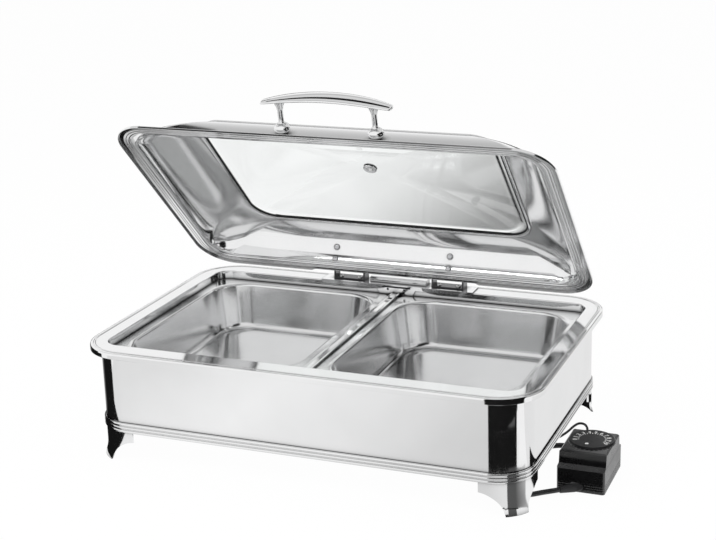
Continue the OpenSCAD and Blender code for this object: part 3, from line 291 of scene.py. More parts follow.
MAKERS = {
    "casing_polish": lambda n, f: metal(n, f.steel, f.polish, (0.06, 0.06, 1), depth=0.000003),
    "rim_polish": lambda n, f: metal(n, f.steel, f.polish * 1.1, (0.2, 0.2, 1), depth=0.000003),
    "lid_satin": lambda n, f: metal(n, f.steel, f.polish * 1.4, (0.05, 1, 1), depth=0.000004),
    "foot_polish": lambda n, f: metal(n, f.steel, f.polish, (0.2, 0.2, 1), depth=0.000003),
    "hinge_polish": lambda n, f: metal(n, f.steel, f.polish, (0.06, 1, 1), depth=0.000003),
    "handle_polish": lambda n, f: metal(n, f.steel, f.polish * 0.7, (0.1, 1, 1), depth=0.000004),
    "hinge_dark": lambda n, f: metal(n, (0.13, 0.13, 0.135), 0.16, (1, 1, 0.2), depth=0.000004),
    "rivet_steel": lambda n, f: metal(n, (0.5, 0.5, 0.51), 0.16, (1, 1, 0.2), depth=0.000004),
    # The trim's painted shade in seams and corners reaches less far.
    "trim_polish": lambda n, f: metal(n, f.steel, f.polish, (1, 1, 0.2), crevice_shade_reach=0.004),
    "pan_satin": lambda n, f: metal(n, f.satin, 0.16, (0.08, 0.08, 1), depth=0.000003),
    "fitting_satin": lambda n, f: metal(n, f.satin, 0.28, (1, 1, 0.2)),
    "bottom_satin": lambda n, f: metal(n, f.satin, 0.34, (0.05, 1, 1)),
    "cast_plate": lambda n, f: metal(n, (0.62, 0.63, 0.64), 0.5, (1, 1, 1), 0.08, 500.0, 0.00015),
    "element_sheath": lambda n, f: metal(n, (0.12, 0.115, 0.11), 0.45, (0.3, 1, 1), 0.15, depth=0.00003),
    "plug_blades": lambda n, f: metal(n, (0.78, 0.74, 0.62), 0.2, (0.1, 1, 1)),
    "box_plastic": lambda n, f: moulded(n, f.plastic, 0.28, depth=0.000035, shine=0.8, bloom=0.1),
    "dial_plastic": lambda n, f: moulded(n, f.plastic, 0.4, 1800.0, 0.00004, 0.3, 0.1),
    "inner_plastic": lambda n, f: moulded(n, (0.05, 0.048, 0.045), 0.5),
    "plug_plastic": lambda n, f: moulded(n, f.plastic, 0.45),
    "gasket_rubber": lambda n, f: moulded(n, f.rubber, 0.6),
    "cord_sheath": lambda n, f: moulded(n, f.rubber, 0.36, 2200.0, 0.00003),
    "window_glass_clear": lambda n, f: glass_material(n),
    "dial_mark_print": lambda n, f: mark_material(n, f.marks),
}
made_materials = {}


def finish_of(name):
    if name not in made_materials:
        made_materials[name] = MAKERS[name](name, finishes())
    return made_materials[name]


def dress(mesh, *names):
    """Gives a mesh its finishes in place of any that it has."""
    mesh.materials.clear()
    for name in names:
        mesh.materials.append(finish_of(name))


# Shapes
LARGEST_BEND = 0.4
BEND_HOLD, LARGEST_HOLD = 0.25, 0.48
CORNER_LEAD, LEAD_SHARE = 0.8, 0.3
BROKEN_EDGE, KEPT_EDGE = 30, 28
BLOCK_FACES = [(0, 1, 2, 3), (4, 5, 6, 7), (0, 1, 5, 4), (1, 2, 6, 5), (2, 3, 7, 6), (3, 0, 4, 7)]


def between(a, b, share):
    return tuple(p + (q - p) * share for p, q in zip(a, b))


def new_object(name, data):
    thing = bpy.data.objects.new(name, data)
    bpy.context.scene.collection.objects.link(thing)
    return thing


def evaluated_mesh(thing):
    """What an object's modifiers or its text make of it, as a plain mesh."""
    depsgraph = bpy.context.evaluated_depsgraph_get()
    return bpy.data.meshes.new_from_object(thing.evaluated_get(depsgraph), depsgraph=depsgraph)


def bend_profile(rows, looped=True):
    """Rounds the bends of a profile. A row is x, y, corner, level, shift and the radius of its bend."""
    steps = sizes().bend_steps
    out = []
    for i, (*here, radius) in enumerate(rows):
        if not radius or not (looped or 0 < i < len(rows) - 1):
            out.append(here)
            continue
        ends = []
        for other in (rows[i - 1][:5], rows[(i + 1) % len(rows)][:5]):
            run = math.hypot(other[3] - here[3], math.hypot(other[0] - here[0], other[1] - here[1]) / 1.414)
            run = max(1e-6, run)
            share = min(radius / run, LARGEST_BEND)
            hold = min(LARGEST_HOLD, share + BEND_HOLD / run)
            ends.append((between(here, other, share), between(here, other, hold)))
        out.append(ends[0][1])
        for s in range(steps + 1):
            t = s / steps
            out.append(between(between(ends[0][0], here, t), between(here, ends[1][0], t), t))
        out.append(ends[1][1])
    return out


def rounded_ring(x, y, corner, level, shift=0.0, rear=()):
    """A rounded rectangle as points, each corner with a short straight lead on both sides."""
    steps = sizes().corner_steps
    lead = min(CORNER_LEAD, LEAD_SHARE * min(x - corner, y - corner))
    points = []
    for quarter, (side, end) in enumerate(((1, 1), (-1, 1), (-1, -1), (1, -1))):
        arc = [math.radians(90 * quarter + 90 * i / steps) for i in range(steps + 1)]
        for angle, ahead in [(arc[0], -lead), *[(a, 0.0) for a in arc], (arc[-1], lead)]:
            points.append((side * (x - corner) + corner * math.cos(angle) - ahead * math.sin(angle),
                           end * (y - corner) + corner * math.sin(angle) + ahead * math.cos(angle)))
        if quarter == 0:
            points += [(p, y) for p in rear]
    return [(p, q + shift, level) for p, q in points]


def loft_faces(rows, across, looped):
    """Quads through rings of points that stand one after the other."""
    faces = []
    for k in range(rows if looped else rows - 1):
        u = (k + 1) % rows
        for i in range(across):
            j = (i + 1) % across
            faces.append((k * across + i, u * across + i, u * across + j, k * across + j))
    if not looped:
        faces.append(tuple(range(across)))
        faces.append(tuple(reversed(range((rows - 1) * across, rows * across))))
    return faces


def mesh_object(name, points, faces, matrix=None, sharp=None):
    """A mesh object at the origin from points in millimetres, smooth, with its faces outwards."""
    mesh = bpy.data.meshes.new(name)
    move = matrix or Matrix.Identity(4)
    mesh.from_pydata([(move @ Vector(p)) * MM for p in points], [], faces)
    shell = bmesh.new()
    shell.from_mesh(mesh)
    bmesh.ops.remove_doubles(shell, verts=shell.verts, dist=1e-7)
    bmesh.ops.recalc_face_normals(shell, faces=shell.faces)
    for face in shell.faces:
        face.smooth = True
    shell.to_mesh(mesh)
    shell.free()
    if sharp:
        mesh.set_sharp_from_angle(angle=math.radians(sharp))
    return new_object(name, mesh)


def loft(name, rings, looped, matrix=None, sharp=None):
    points = [p for ring in rings for p in ring]
    return mesh_object(name, points, loft_faces(len(rings), len(rings[0]), looped), matrix, sharp)


def drawn_sheet(name, rows, matrix=None, looped=True, rear=(), change=None):
    """A drawn sheet lofted through a profile of rounded rectangles."""
    rings = [rounded_ring(*row, rear=rear) for row in bend_profile(rows, looped)]
    if change:
        rings = [[change(p) for p in ring] for ring in rings]
    return loft(name, rings, looped, matrix)


def row(plan, by, level, bend=0.0):
    """A row of a profile: a plan grown on all sides, its level and the radius of its bend."""
    return plan[0] + by, plan[1] + by, max(0.05, plan[2] + by), level, 0.0, bend


def lathe(name, profile, matrix=None, steps=48, sharp=40, looped=False):
    """A turned piece: a profile of radius and height about Z."""
    turns = [2 * math.pi * i / steps for i in range(steps)]
    rings = [[(r * math.cos(a), r * math.sin(a), z) for a in turns] for r, z in profile]
    return loft(name, rings, looped, matrix, sharp)


def edged_copy(node, edge):
    """A copy of a solid with its sharp edges broken, as a deburred or moulded edge is."""
    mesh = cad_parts[node].data.copy()
    shell = bmesh.new()
    shell.from_mesh(mesh)
    bmesh.ops.remove_doubles(shell, verts=shell.verts, dist=2e-6)
    bmesh.ops.dissolve_limit(shell, angle_limit=math.radians(0.6), verts=shell.verts, edges=shell.edges)
    sharp = math.radians(BROKEN_EDGE)
    edges = [e for e in shell.edges if len(e.link_faces) == 2 and e.calc_face_angle(0) > sharp]
    bmesh.ops.bevel(shell, geom=edges, offset=edge * MM, segments=2, profile=0.5, affect="EDGES", clamp_overlap=True)
    for face in shell.faces:
        face.smooth = True
    shell.to_mesh(mesh)
    shell.free()
    mesh.set_sharp_from_angle(angle=math.radians(KEPT_EDGE))
    return flat_faced(new_object(node + "_edged", mesh))


def flat_faced(thing):
    """Lets the broad faces keep their own normals, so that only the edges look rounded."""
    weigh = thing.modifiers.new("weigh", "WEIGHTED_NORMAL")
    weigh.mode = "FACE_AREA"
    weigh.weight = 80
    weigh.keep_sharp = True
    mesh = evaluated_mesh(thing)
    thing.modifiers.clear()
    thing.data = mesh
    return thing


def joined(name, things):
    """Several meshes of one body as one piece."""
    shell = bmesh.new()
    for thing in things:
        shell.from_mesh(thing.data)
    mesh = bpy.data.meshes.new(name)
    shell.to_mesh(mesh)
    shell.free()
    for thing in things:
        bpy.data.objects.remove(thing)
    return new_object(name, mesh)


def settle(thing, finish, body, slot, *nodes):
    """Gives a piece its finish and its body, and hides the solids that it stands for. Its slot is not used."""
    if finish:
        dress(thing.data, finish)
    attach(thing, body)
    if nodes:
        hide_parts(*nodes)
    return thing


def edged_piece(node, edge, finish, slot, body="base"):
    """A solid with its edges broken, as a finished piece."""
    return settle(edged_copy(node, edge), finish, body, slot, node)


def paint_node(node, finish):
    """A solid that stays as it is gets its finish."""
    dress(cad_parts[node].data, finish)


# Geometry node trees
def node_tree(name, inputs, kinds, settings, values, links):
    """A tree of nodes. Settings, values and links name a node and its attribute or socket as node.label."""
    tree = bpy.data.node_groups.new(name, "GeometryNodeTree")
    sockets = {}
    for label, kind in inputs.items():
        socket = tree.interface.new_socket(label, in_out="INPUT", socket_type="NodeSocket" + kind)
        sockets[label] = socket.identifier
    tree.interface.new_socket("Geometry", in_out="OUTPUT", socket_type="NodeSocketGeometry")
    nodes = {"given": tree.nodes.new("NodeGroupInput"), "out": tree.nodes.new("NodeGroupOutput")}
    for key, kind in kinds.items():
        nodes[key] = tree.nodes.new(kind)
    for path, value in settings.items():
        key, label = path.split(".")
        setattr(nodes[key], label, value)
    for path, value in values.items():
        key, label = path.split(".")
        nodes[key].inputs[label].default_value = value
    for link in links.strip().splitlines():
        (start, output), (end, socket) = [path.strip().split(".") for path in link.split(">")]
        tree.links.new(nodes[start].outputs[output], nodes[end].inputs[socket])
    return tree, sockets


def heads_tree():
    """Sets a turned head on every point, turned as the point says."""
    return node_tree(
        "Fastener heads",
        {"Geometry": "Geometry", "Head": "Object", "Size": "Float", "Finish": "Material"},
        {"info": "GeometryNodeObjectInfo", "turn": "GeometryNodeInputNamedAttribute",
         "place": "GeometryNodeInstanceOnPoints", "real": "GeometryNodeRealizeInstances",
         "paint": "GeometryNodeSetMaterial"},
        {"turn.data_type": "FLOAT_VECTOR"},
        {"info.As Instance": True, "turn.Name": "turn"},
        """
        given.Head > info.Object
        given.Geometry > place.Points
        info.Geometry > place.Instance
        turn.Attribute > place.Rotation
        given.Size > place.Scale
        place.Instances > real.Geometry
        real.Geometry > paint.Geometry
        given.Finish > paint.Material
        paint.Geometry > out.Geometry
        """)


def marks_tree():
    """Sets short bars along an arc, each pointing at the middle."""
    return node_tree(
        "Dial marks",
        {"Radius": "Float", "Count": "Int", "Sweep": "Float", "Start": "Float", "Length": "Float", "Width": "Float",
         "Height": "Float", "Place": "Vector", "Finish": "Material"},
        {"arc": "GeometryNodeCurveArc", "spots": "GeometryNodeCurveToPoints", "bar": "GeometryNodeMeshCube",
         "size": "ShaderNodeCombineXYZ", "place": "GeometryNodeInstanceOnPoints", "move": "GeometryNodeTransform",
         "real": "GeometryNodeRealizeInstances", "paint": "GeometryNodeSetMaterial",
         "along": "FunctionNodeAlignEulerToVector"},
        {"along.axis": "Y"},
        {},
        """
        given.Radius > arc.Radius
        given.Sweep > arc.Sweep Angle
        given.Start > arc.Start Angle
        arc.Curve > spots.Curve
        given.Count > spots.Count
        given.Length > size.X
        given.Width > size.Y
        given.Height > size.Z
        size.Vector > bar.Size
        spots.Points > place.Points
        bar.Mesh > place.Instance
        spots.Tangent > along.Vector
        along.Rotation > place.Rotation
        place.Instances > move.Geometry
        given.Place > move.Translation
        move.Geometry > real.Geometry
        real.Geometry > paint.Geometry
        given.Finish > paint.Material
        paint.Geometry > out.Geometry
        """)


def beads_tree():
    """Round beads along a rounded rectangle, one above the other."""
    return node_tree(
        "Band beads",
        {"Length": "Float", "Depth": "Float", "Corner": "Float", "Bead": "Float", "Count": "Int", "Pitch": "Float",
         "Level": "Float", "Finish": "Material"},
        {"plan": "GeometryNodeCurvePrimitiveQuadrilateral", "fillet": "GeometryNodeFilletCurve",
         "bead": "GeometryNodeCurvePrimitiveCircle", "sweep": "GeometryNodeCurveToMesh",
         "stack": "GeometryNodeMeshLine", "first": "ShaderNodeCombineXYZ", "step": "ShaderNodeCombineXYZ",
         "place": "GeometryNodeInstanceOnPoints", "real": "GeometryNodeRealizeInstances",
         "smooth": "GeometryNodeSetShadeSmooth", "paint": "GeometryNodeSetMaterial"},
        {"fillet.mode": "POLY"},
        {"fillet.Count": 20, "bead.Resolution": 14},
        """
        given.Length > plan.Width
        given.Depth > plan.Height
        plan.Curve > fillet.Curve
        given.Corner > fillet.Radius
        given.Bead > bead.Radius
        fillet.Curve > sweep.Curve
        bead.Curve > sweep.Profile Curve
        given.Level > first.Z
        given.Pitch > step.Z
        given.Count > stack.Count
        first.Vector > stack.Start Location
        step.Vector > stack.Offset
        stack.Mesh > place.Points
        sweep.Mesh > place.Instance
        place.Instances > real.Geometry
        real.Geometry > smooth.Geometry
        smooth.Geometry > paint.Geometry
        given.Finish > paint.Material
        paint.Geometry > out.Geometry
        """)


def grow_tree(name, made, values, mesh=None):
    """Runs a node tree once and keeps its result as a plain mesh object."""
    tree, sockets = made
    seed = new_object(name + "_seed", mesh or bpy.data.meshes.new(name + "_seed"))
    modifier = seed.modifiers.new("Nodes", "NODES")
    modifier.node_group = tree
    for label, value in values.items():
        modifier[sockets[label]] = value
    result = evaluated_mesh(seed)
    bpy.data.objects.remove(seed)
    return new_object(name, result)


def place_points(name, matrices):
    """A mesh of loose points, each with the turn of the head that goes there. Millimetres."""
    mesh = bpy.data.meshes.new(name + "_points")
    mesh.from_pydata([m.to_translation() * MM for m in matrices], [], [])
    turn = mesh.attributes.new("turn", "FLOAT_VECTOR", "POINT")
    for i, m in enumerate(matrices):
        turn.data[i].vector = m.to_euler()
    return mesh


def fasteners(name, profile, matrices, finish, recess=0.0):
    """Like screws or rivets: one turned head, with a round recess where it has one, at each place."""
    head = lathe(name + "_head", profile, None, 24, 32)
    if recess:
        shell = bmesh.new()
        shell.from_mesh(head.data)
        top = max(v.co.z for v in shell.verts)
        for face in [f for f in shell.faces if all(abs(v.co.z - top) < 1e-7 for v in f.verts)]:
            bmesh.ops.inset_region(shell, faces=[face], thickness=0.5 * MM)
            bmesh.ops.translate(shell, verts=face.verts, vec=(0, 0, -recess * MM))
        shell.to_mesh(head.data)
        shell.free()
    values = {"Head": head, "Size": 1.0, "Finish": finish_of(finish)}
    thing = grow_tree(name, heads_tree(), values, place_points(name, matrices))
    bpy.data.objects.remove(head)
    return thing


# Lid walls
def round_in(level):
    turn = math.radians(WALL_TURN)
    return (1 - math.cos(math.asin(min(1.0, level / DOME_HEIGHT * math.sin(turn))))) / (1 - math.cos(turn))


def front_inset(level):
    return REACH_Y * (STRAIGHT_SHARE * level / DOME_HEIGHT + (1 - STRAIGHT_SHARE) * round_in(level))


def wall_row(share, inward):
    level = DOME_HEIGHT * (1 - math.cos(math.pi * share)) / 2
    grow = inward * LID_SHEET
    front, rear = front_inset(level), REACH_Y * round_in(level)
    corner = WALL_CORNER + (OPENING[2] + WINDOW_LEDGE - WALL_CORNER) * share
    return (LID[0] - WALL_FOOT - REACH_X * round_in(level) - grow, LID[1] - WALL_FOOT - (front + rear) / 2 - grow,
            corner, WALL_BASE + level - grow * share ** 2, (front - rear) / 2, 0.0)


def handle_place():
    rise = HANDLE_LEVEL - WALL_BASE
    lean = math.degrees(math.atan(front_inset(rise + 0.5) - front_inset(rise - 0.5)))
    spot = (0, LID_MIDDLE - LID[1] + WALL_FOOT + front_inset(rise), LID_PLANE + HANDLE_LEVEL)
    return LID_POSE @ Matrix.Translation(spot) @ Matrix.Rotation(math.radians(90 - lean), 4, "X")


def rivet_places():
    """The two rivets of each hinge arm, square to the lid's rear wall."""
    low, high = RIVET_LEVELS
    walls = [LID_MIDDLE + LID[1] - WALL_FOOT - REACH_Y * round_in(z - WALL_BASE) for z in RIVET_LEVELS]
    lean = math.atan((walls[0] - walls[1]) / (high - low))
    places = []
    for side in (-1, 1):
        for run in (0.0, (high - low) / math.cos(lean)):
            spot = (side * (HINGE_SPACING + RIVET_REACH), walls[0] - math.sin(lean) * run,
                    LID_PLANE + low + math.cos(lean) * run)
            places.append(LID_POSE @ Matrix.Translation(spot) @ Matrix.Rotation(lean - math.pi / 2, 4, "X"))
    return places


# Routes of the leads, in millimetres, as in the part's source
CORD_FLOOR = 3.3
CORD_LEAD = 6.2
RELIEF_TURN = math.radians(50)
RELIEF_WAY = Vector((-math.sin(RELIEF_TURN), -math.cos(RELIEF_TURN), 0))
RELIEF_FACE = Vector((BOX[0] - 6, BOX[1] - 45, 6.2))
RELIEF_END = RELIEF_FACE + RELIEF_WAY * 20
COIL_MIDDLE, COIL_RADIUS, COIL_STEP, COIL_HALF = (40.0, 254.0), 43.0, 7.0, 2.25
COIL_POINTS = 24
PLUG = Vector((122, 306, 12.2))


def coil_point(turn):
    """A point of the coil, which winds inwards over its first half and out again over itself."""
    radius = COIL_RADIUS - COIL_STEP * (turn if turn < COIL_HALF else 2 * COIL_HALF - turn)
    level = CORD_FLOOR + COIL_STEP * min(1.0, max(0.0, (turn - 2.0) / 0.5))
    a = 2 * math.pi * turn
    return Vector((COIL_MIDDLE[0] - radius * math.sin(a), COIL_MIDDLE[1] - radius * math.cos(a), level))


def mains_route():
    floor = [(234, -120), (217, -113), (203, -102), (192, -88), (184, -72), (178, -54), (172, -34), (166, -14),
             (160, 6), (154, 26), (148, 46), (142, 66), (136, 86), (130, 106), (124, 126), (118, 146), (111, 165),
             (102, 183), (90, 198), (76, 207), (61, 211)]
    start = [RELIEF_END, RELIEF_END + RELIEF_WAY * CORD_LEAD, (284, -111, 5), (269, -120, 3.8),
             (252, -124, CORD_FLOOR)]
    coil = [coil_point(i / COIL_POINTS) for i in range(int(COIL_POINTS * 2 * COIL_HALF) + 1)]
    lead = Vector((CORD_LEAD, 0, 0))
    tail = [coil[-1] + lead, (60, 298, 9.5), (74, 301, 8.5), (88, 304, 9), (101, 305.5, 10.8), PLUG - lead, PLUG]
    return [Vector(p) for p in (*start, *[(*p, CORD_FLOOR) for p in floor], *coil, *tail)]


def heater_route():
    out, into = Vector((215, -70, 33)), Vector((293.5, -40, 35))
    ways = [out + Vector(step) for step in ((0, 0, 0), (8, 0, 0), (21, 3, 0), (34, 10, 0), (47, 18, 0.5))]
    return ways + [Vector((274, -45, 34.5)), into - Vector((8, 0, 0)), into]


def sensor_route():
    into = Vector((310, -8.4, 40))
    ways = [into, into + Vector((0, 3, 0)), (308, 2, 44), (303, 7, 46), (296, 8, 45.5), (290.5, 4, 42.5),
            (286, -1, 38.5), (281, -6, 35), (275, -11, 32), (268, -15, 30.5), (260, -18, 30), (252, -20, 30),
            (245, -21, 30.5), (239, -22, 32), (234.5, -22, 34.5), (232, -22, 37), (232, -22, 39.9)]
    return [Vector(p) for p in ways]


def smooth_route(points, count=6):
    """A smooth line through the points of a route."""
    line = []
    for i in range(len(points) - 1):
        a, b = points[max(i - 1, 0)], points[i]
        c, d = points[i + 1], points[min(i + 2, len(points) - 1)]
        for s in range(count):
            t = s / count
            bend, twist = 2 * a - 5 * b + 4 * c - d, 3 * b - a - 3 * c + d
            line.append(0.5 * (2 * b + (c - a) * t + bend * t ** 2 + twist * t ** 3))
    return line + [points[-1]]


def cord_piece(name, route, diameter, *nodes):
    """A round cord along a route, and its length."""
    curve = bpy.data.curves.new(name, "CURVE")
    curve.dimensions = "3D"
    curve.bevel_depth = diameter / 2
    curve.bevel_resolution = 5
    curve.use_fill_caps = True
    line = smooth_route(route)
    spline = curve.splines.new("POLY")
    spline.points.add(len(line) - 1)
    for point, place in zip(spline.points, line):
        point.co = (*(place * MM), 1)
    spline.use_smooth = True
    cord = settle(new_object(name, curve), "cord_sheath", "base", "cord_black", *nodes)
    return cord, sum((b - a).length for a, b in zip(line, line[1:])) * MM


# Cards that only mirrored rays or rays through the glass see: painted reflections in the steel and a painted grey
# seen through the glass. In metres, with a grey at every corner
BLACK = 0.008
CEILING, CEILING_CARD, TABLE, TABLE_CARD, BACKDROP = 1.3, 1.25, 0.0002, 0.0004, 0.001
FLOOR_LEVEL = -0.0002


def card(name, corners, greys):
    """A plain card, with one grey or a grey for each corner."""
    if not isinstance(greys, tuple):
        greys = (greys,) * len(corners)
    return name, "mirror", corners, [tuple(range(len(corners)))], greys


def upright_card(name, start, end, low, high, greys):
    """A standing card; its greys go round from the lower start corner."""
    return card(name, [(*start, low), (*end, low), (*end, high), (*start, high)], greys)


def side_card(name, x, corners, greys):
    """A standing card across X with its corners as Y and Z."""
    return card(name, [(x, *corner) for corner in corners], greys)


def table_card(name, corners, greys):
    return card(name, [(*corner, TABLE_CARD) for corner in corners], greys)


def strip_card(name, level, ends, stops, along_y=False, seen_by="mirror"):
    """A level card whose grey changes from stop to stop along X or along Y."""
    corners = [(end, stop, level) if along_y else (stop, end, level) for stop, _ in stops for end in ends]
    faces = [(2 * i, 2 * i + 2, 2 * i + 3, 2 * i + 1) for i in range(len(stops) - 1)]
    return name, seen_by, corners, faces, [grey for _, grey in stops for _ in ends]


CARDS = [
    upright_card("left_flag", (-0.43, -0.26), (-0.43, -0.1), 0.0, 0.105, BLACK),
    upright_card("left_flag_fade", (-0.43, -0.1), (-0.43, 0.12), 0.0, 0.105, (BLACK, 0.7, 0.7, BLACK)),
    upright_card("left_flag_top", (-0.43, -0.225), (-0.43, 0.15), 0.105, 0.17, BLACK),
    side_card("left_flag_high", -0.43, [
        (0.26, 0.66), (0.26, 0.575), (0.3, 0.59), (0.341, 0.626), (0.41, 0.695), (0.37, 0.71)], BLACK),
    strip_card("left_table", TABLE_CARD, (-0.43, -0.285), [(-0.26, BLACK), (-0.1, BLACK), (0.08, 0.8)], True),
    upright_card("front_flag", (0.2025, -0.341), (0.43, -0.205), 0.06, 0.32, BLACK),
    table_card("front_table", [
        (0.214, -0.291), (0.282, -0.287), (0.341, -0.253), (0.379, -0.197), (0.624, -0.268), (0.157, -0.54)], BLACK),
    table_card("foot_table", [(0.259, -0.1725), (0.3457, -0.269), (0.3875, -0.2148), (0.267, -0.166)], 0.1),
    table_card("foot_table_side", [
        (0.267, -0.166), (0.3875, -0.2148), (0.4005, -0.1197), (0.2753, -0.1547)], (0.1, 0.1, 0.75, 0.75)),
    upright_card("box_front_flag", (0.262, -0.0925), (0.353, -0.0925), 0.0, 0.038, BLACK),
    upright_card("toe_flag", (0.439, -0.361), (0.506, -0.265), 0.0, 0.14, 0.1),
    table_card("rear_foot_table", [(0.235, 0.15), (0.305, 0.165), (0.305, 0.215), (0.235, 0.235)], BLACK),
    upright_card("box_flag", (0.5, 1.0), (0.85, 1.0), 0.2, 0.7, BLACK),
    upright_card("right_flag_low", (0.75, -1.0), (0.75, 0.6), 0.15, 0.27, 0.02),
    upright_card("right_flag_high", (0.75, -1.0), (0.75, 0.6), 0.43, 0.9, 0.02),
    upright_card("right_flag_front", (0.75, -1.0), (0.75, -0.22), 0.27, 0.43, 0.02),
    upright_card("right_flag_rear", (0.75, 0.22), (0.75, 0.6), 0.27, 0.43, 0.02),
    table_card("far_table", [(-1.6, 0.85), (0.35, 0.85), (0.2, 2.6), (-2.2, 2.6)], 0.04),
    upright_card("horizon", (-3.2, 3.0), (0.3, 3.0), 0.35, 0.95, 0.02),
    strip_card("front_sheet", TABLE, (-0.8, -0.19), [
        (-0.55, 0.8), (-0.37, 0.84), (-0.27, 0.93), (-0.17, 0.99), (-0.065, 0.91), (0.0, 0.885), (0.07, 0.82),
        (0.12, 0.75), (0.2, 0.72), (0.28, 0.85), (0.5, 0.97)]),
    strip_card("end_sheet", TABLE, (-0.1, 0.8), [(0.285, 0.86), (0.6, 0.86), (0.75, 0.97)]),
    strip_card("lip_flag", CEILING_CARD, (-0.36, -0.235), [(-0.85, BLACK), (-0.47, BLACK), (-0.3, 0.1), (0.1, 0.25)]),
    strip_card("grip_flag", CEILING_CARD, (0.34, 0.66), [(-1.0, 0.02), (0.2, 0.02)]),
    strip_card("ceiling", CEILING, (-1.6, 1.6), [(-0.5, 0.75), (1.1, 0.75), (1.35, 0.5), (2.1, 1.0)], True),
    strip_card("ceiling_through_glass", CEILING, (-1.6, 1.6), [(-0.5, 0.42), (1.3, 0.5), (2.1, 1.0)], True, "glass"),
    strip_card("glass_backdrop", BACKDROP, (0.7, 1.9), [
        (-0.62, 0.97), (-0.43, 0.86), (-0.32, 0.7), (-0.23, 0.52), (-0.15, 0.34), (-0.08, 0.28), (0.15, 0.25)],
        seen_by="glass"),
]


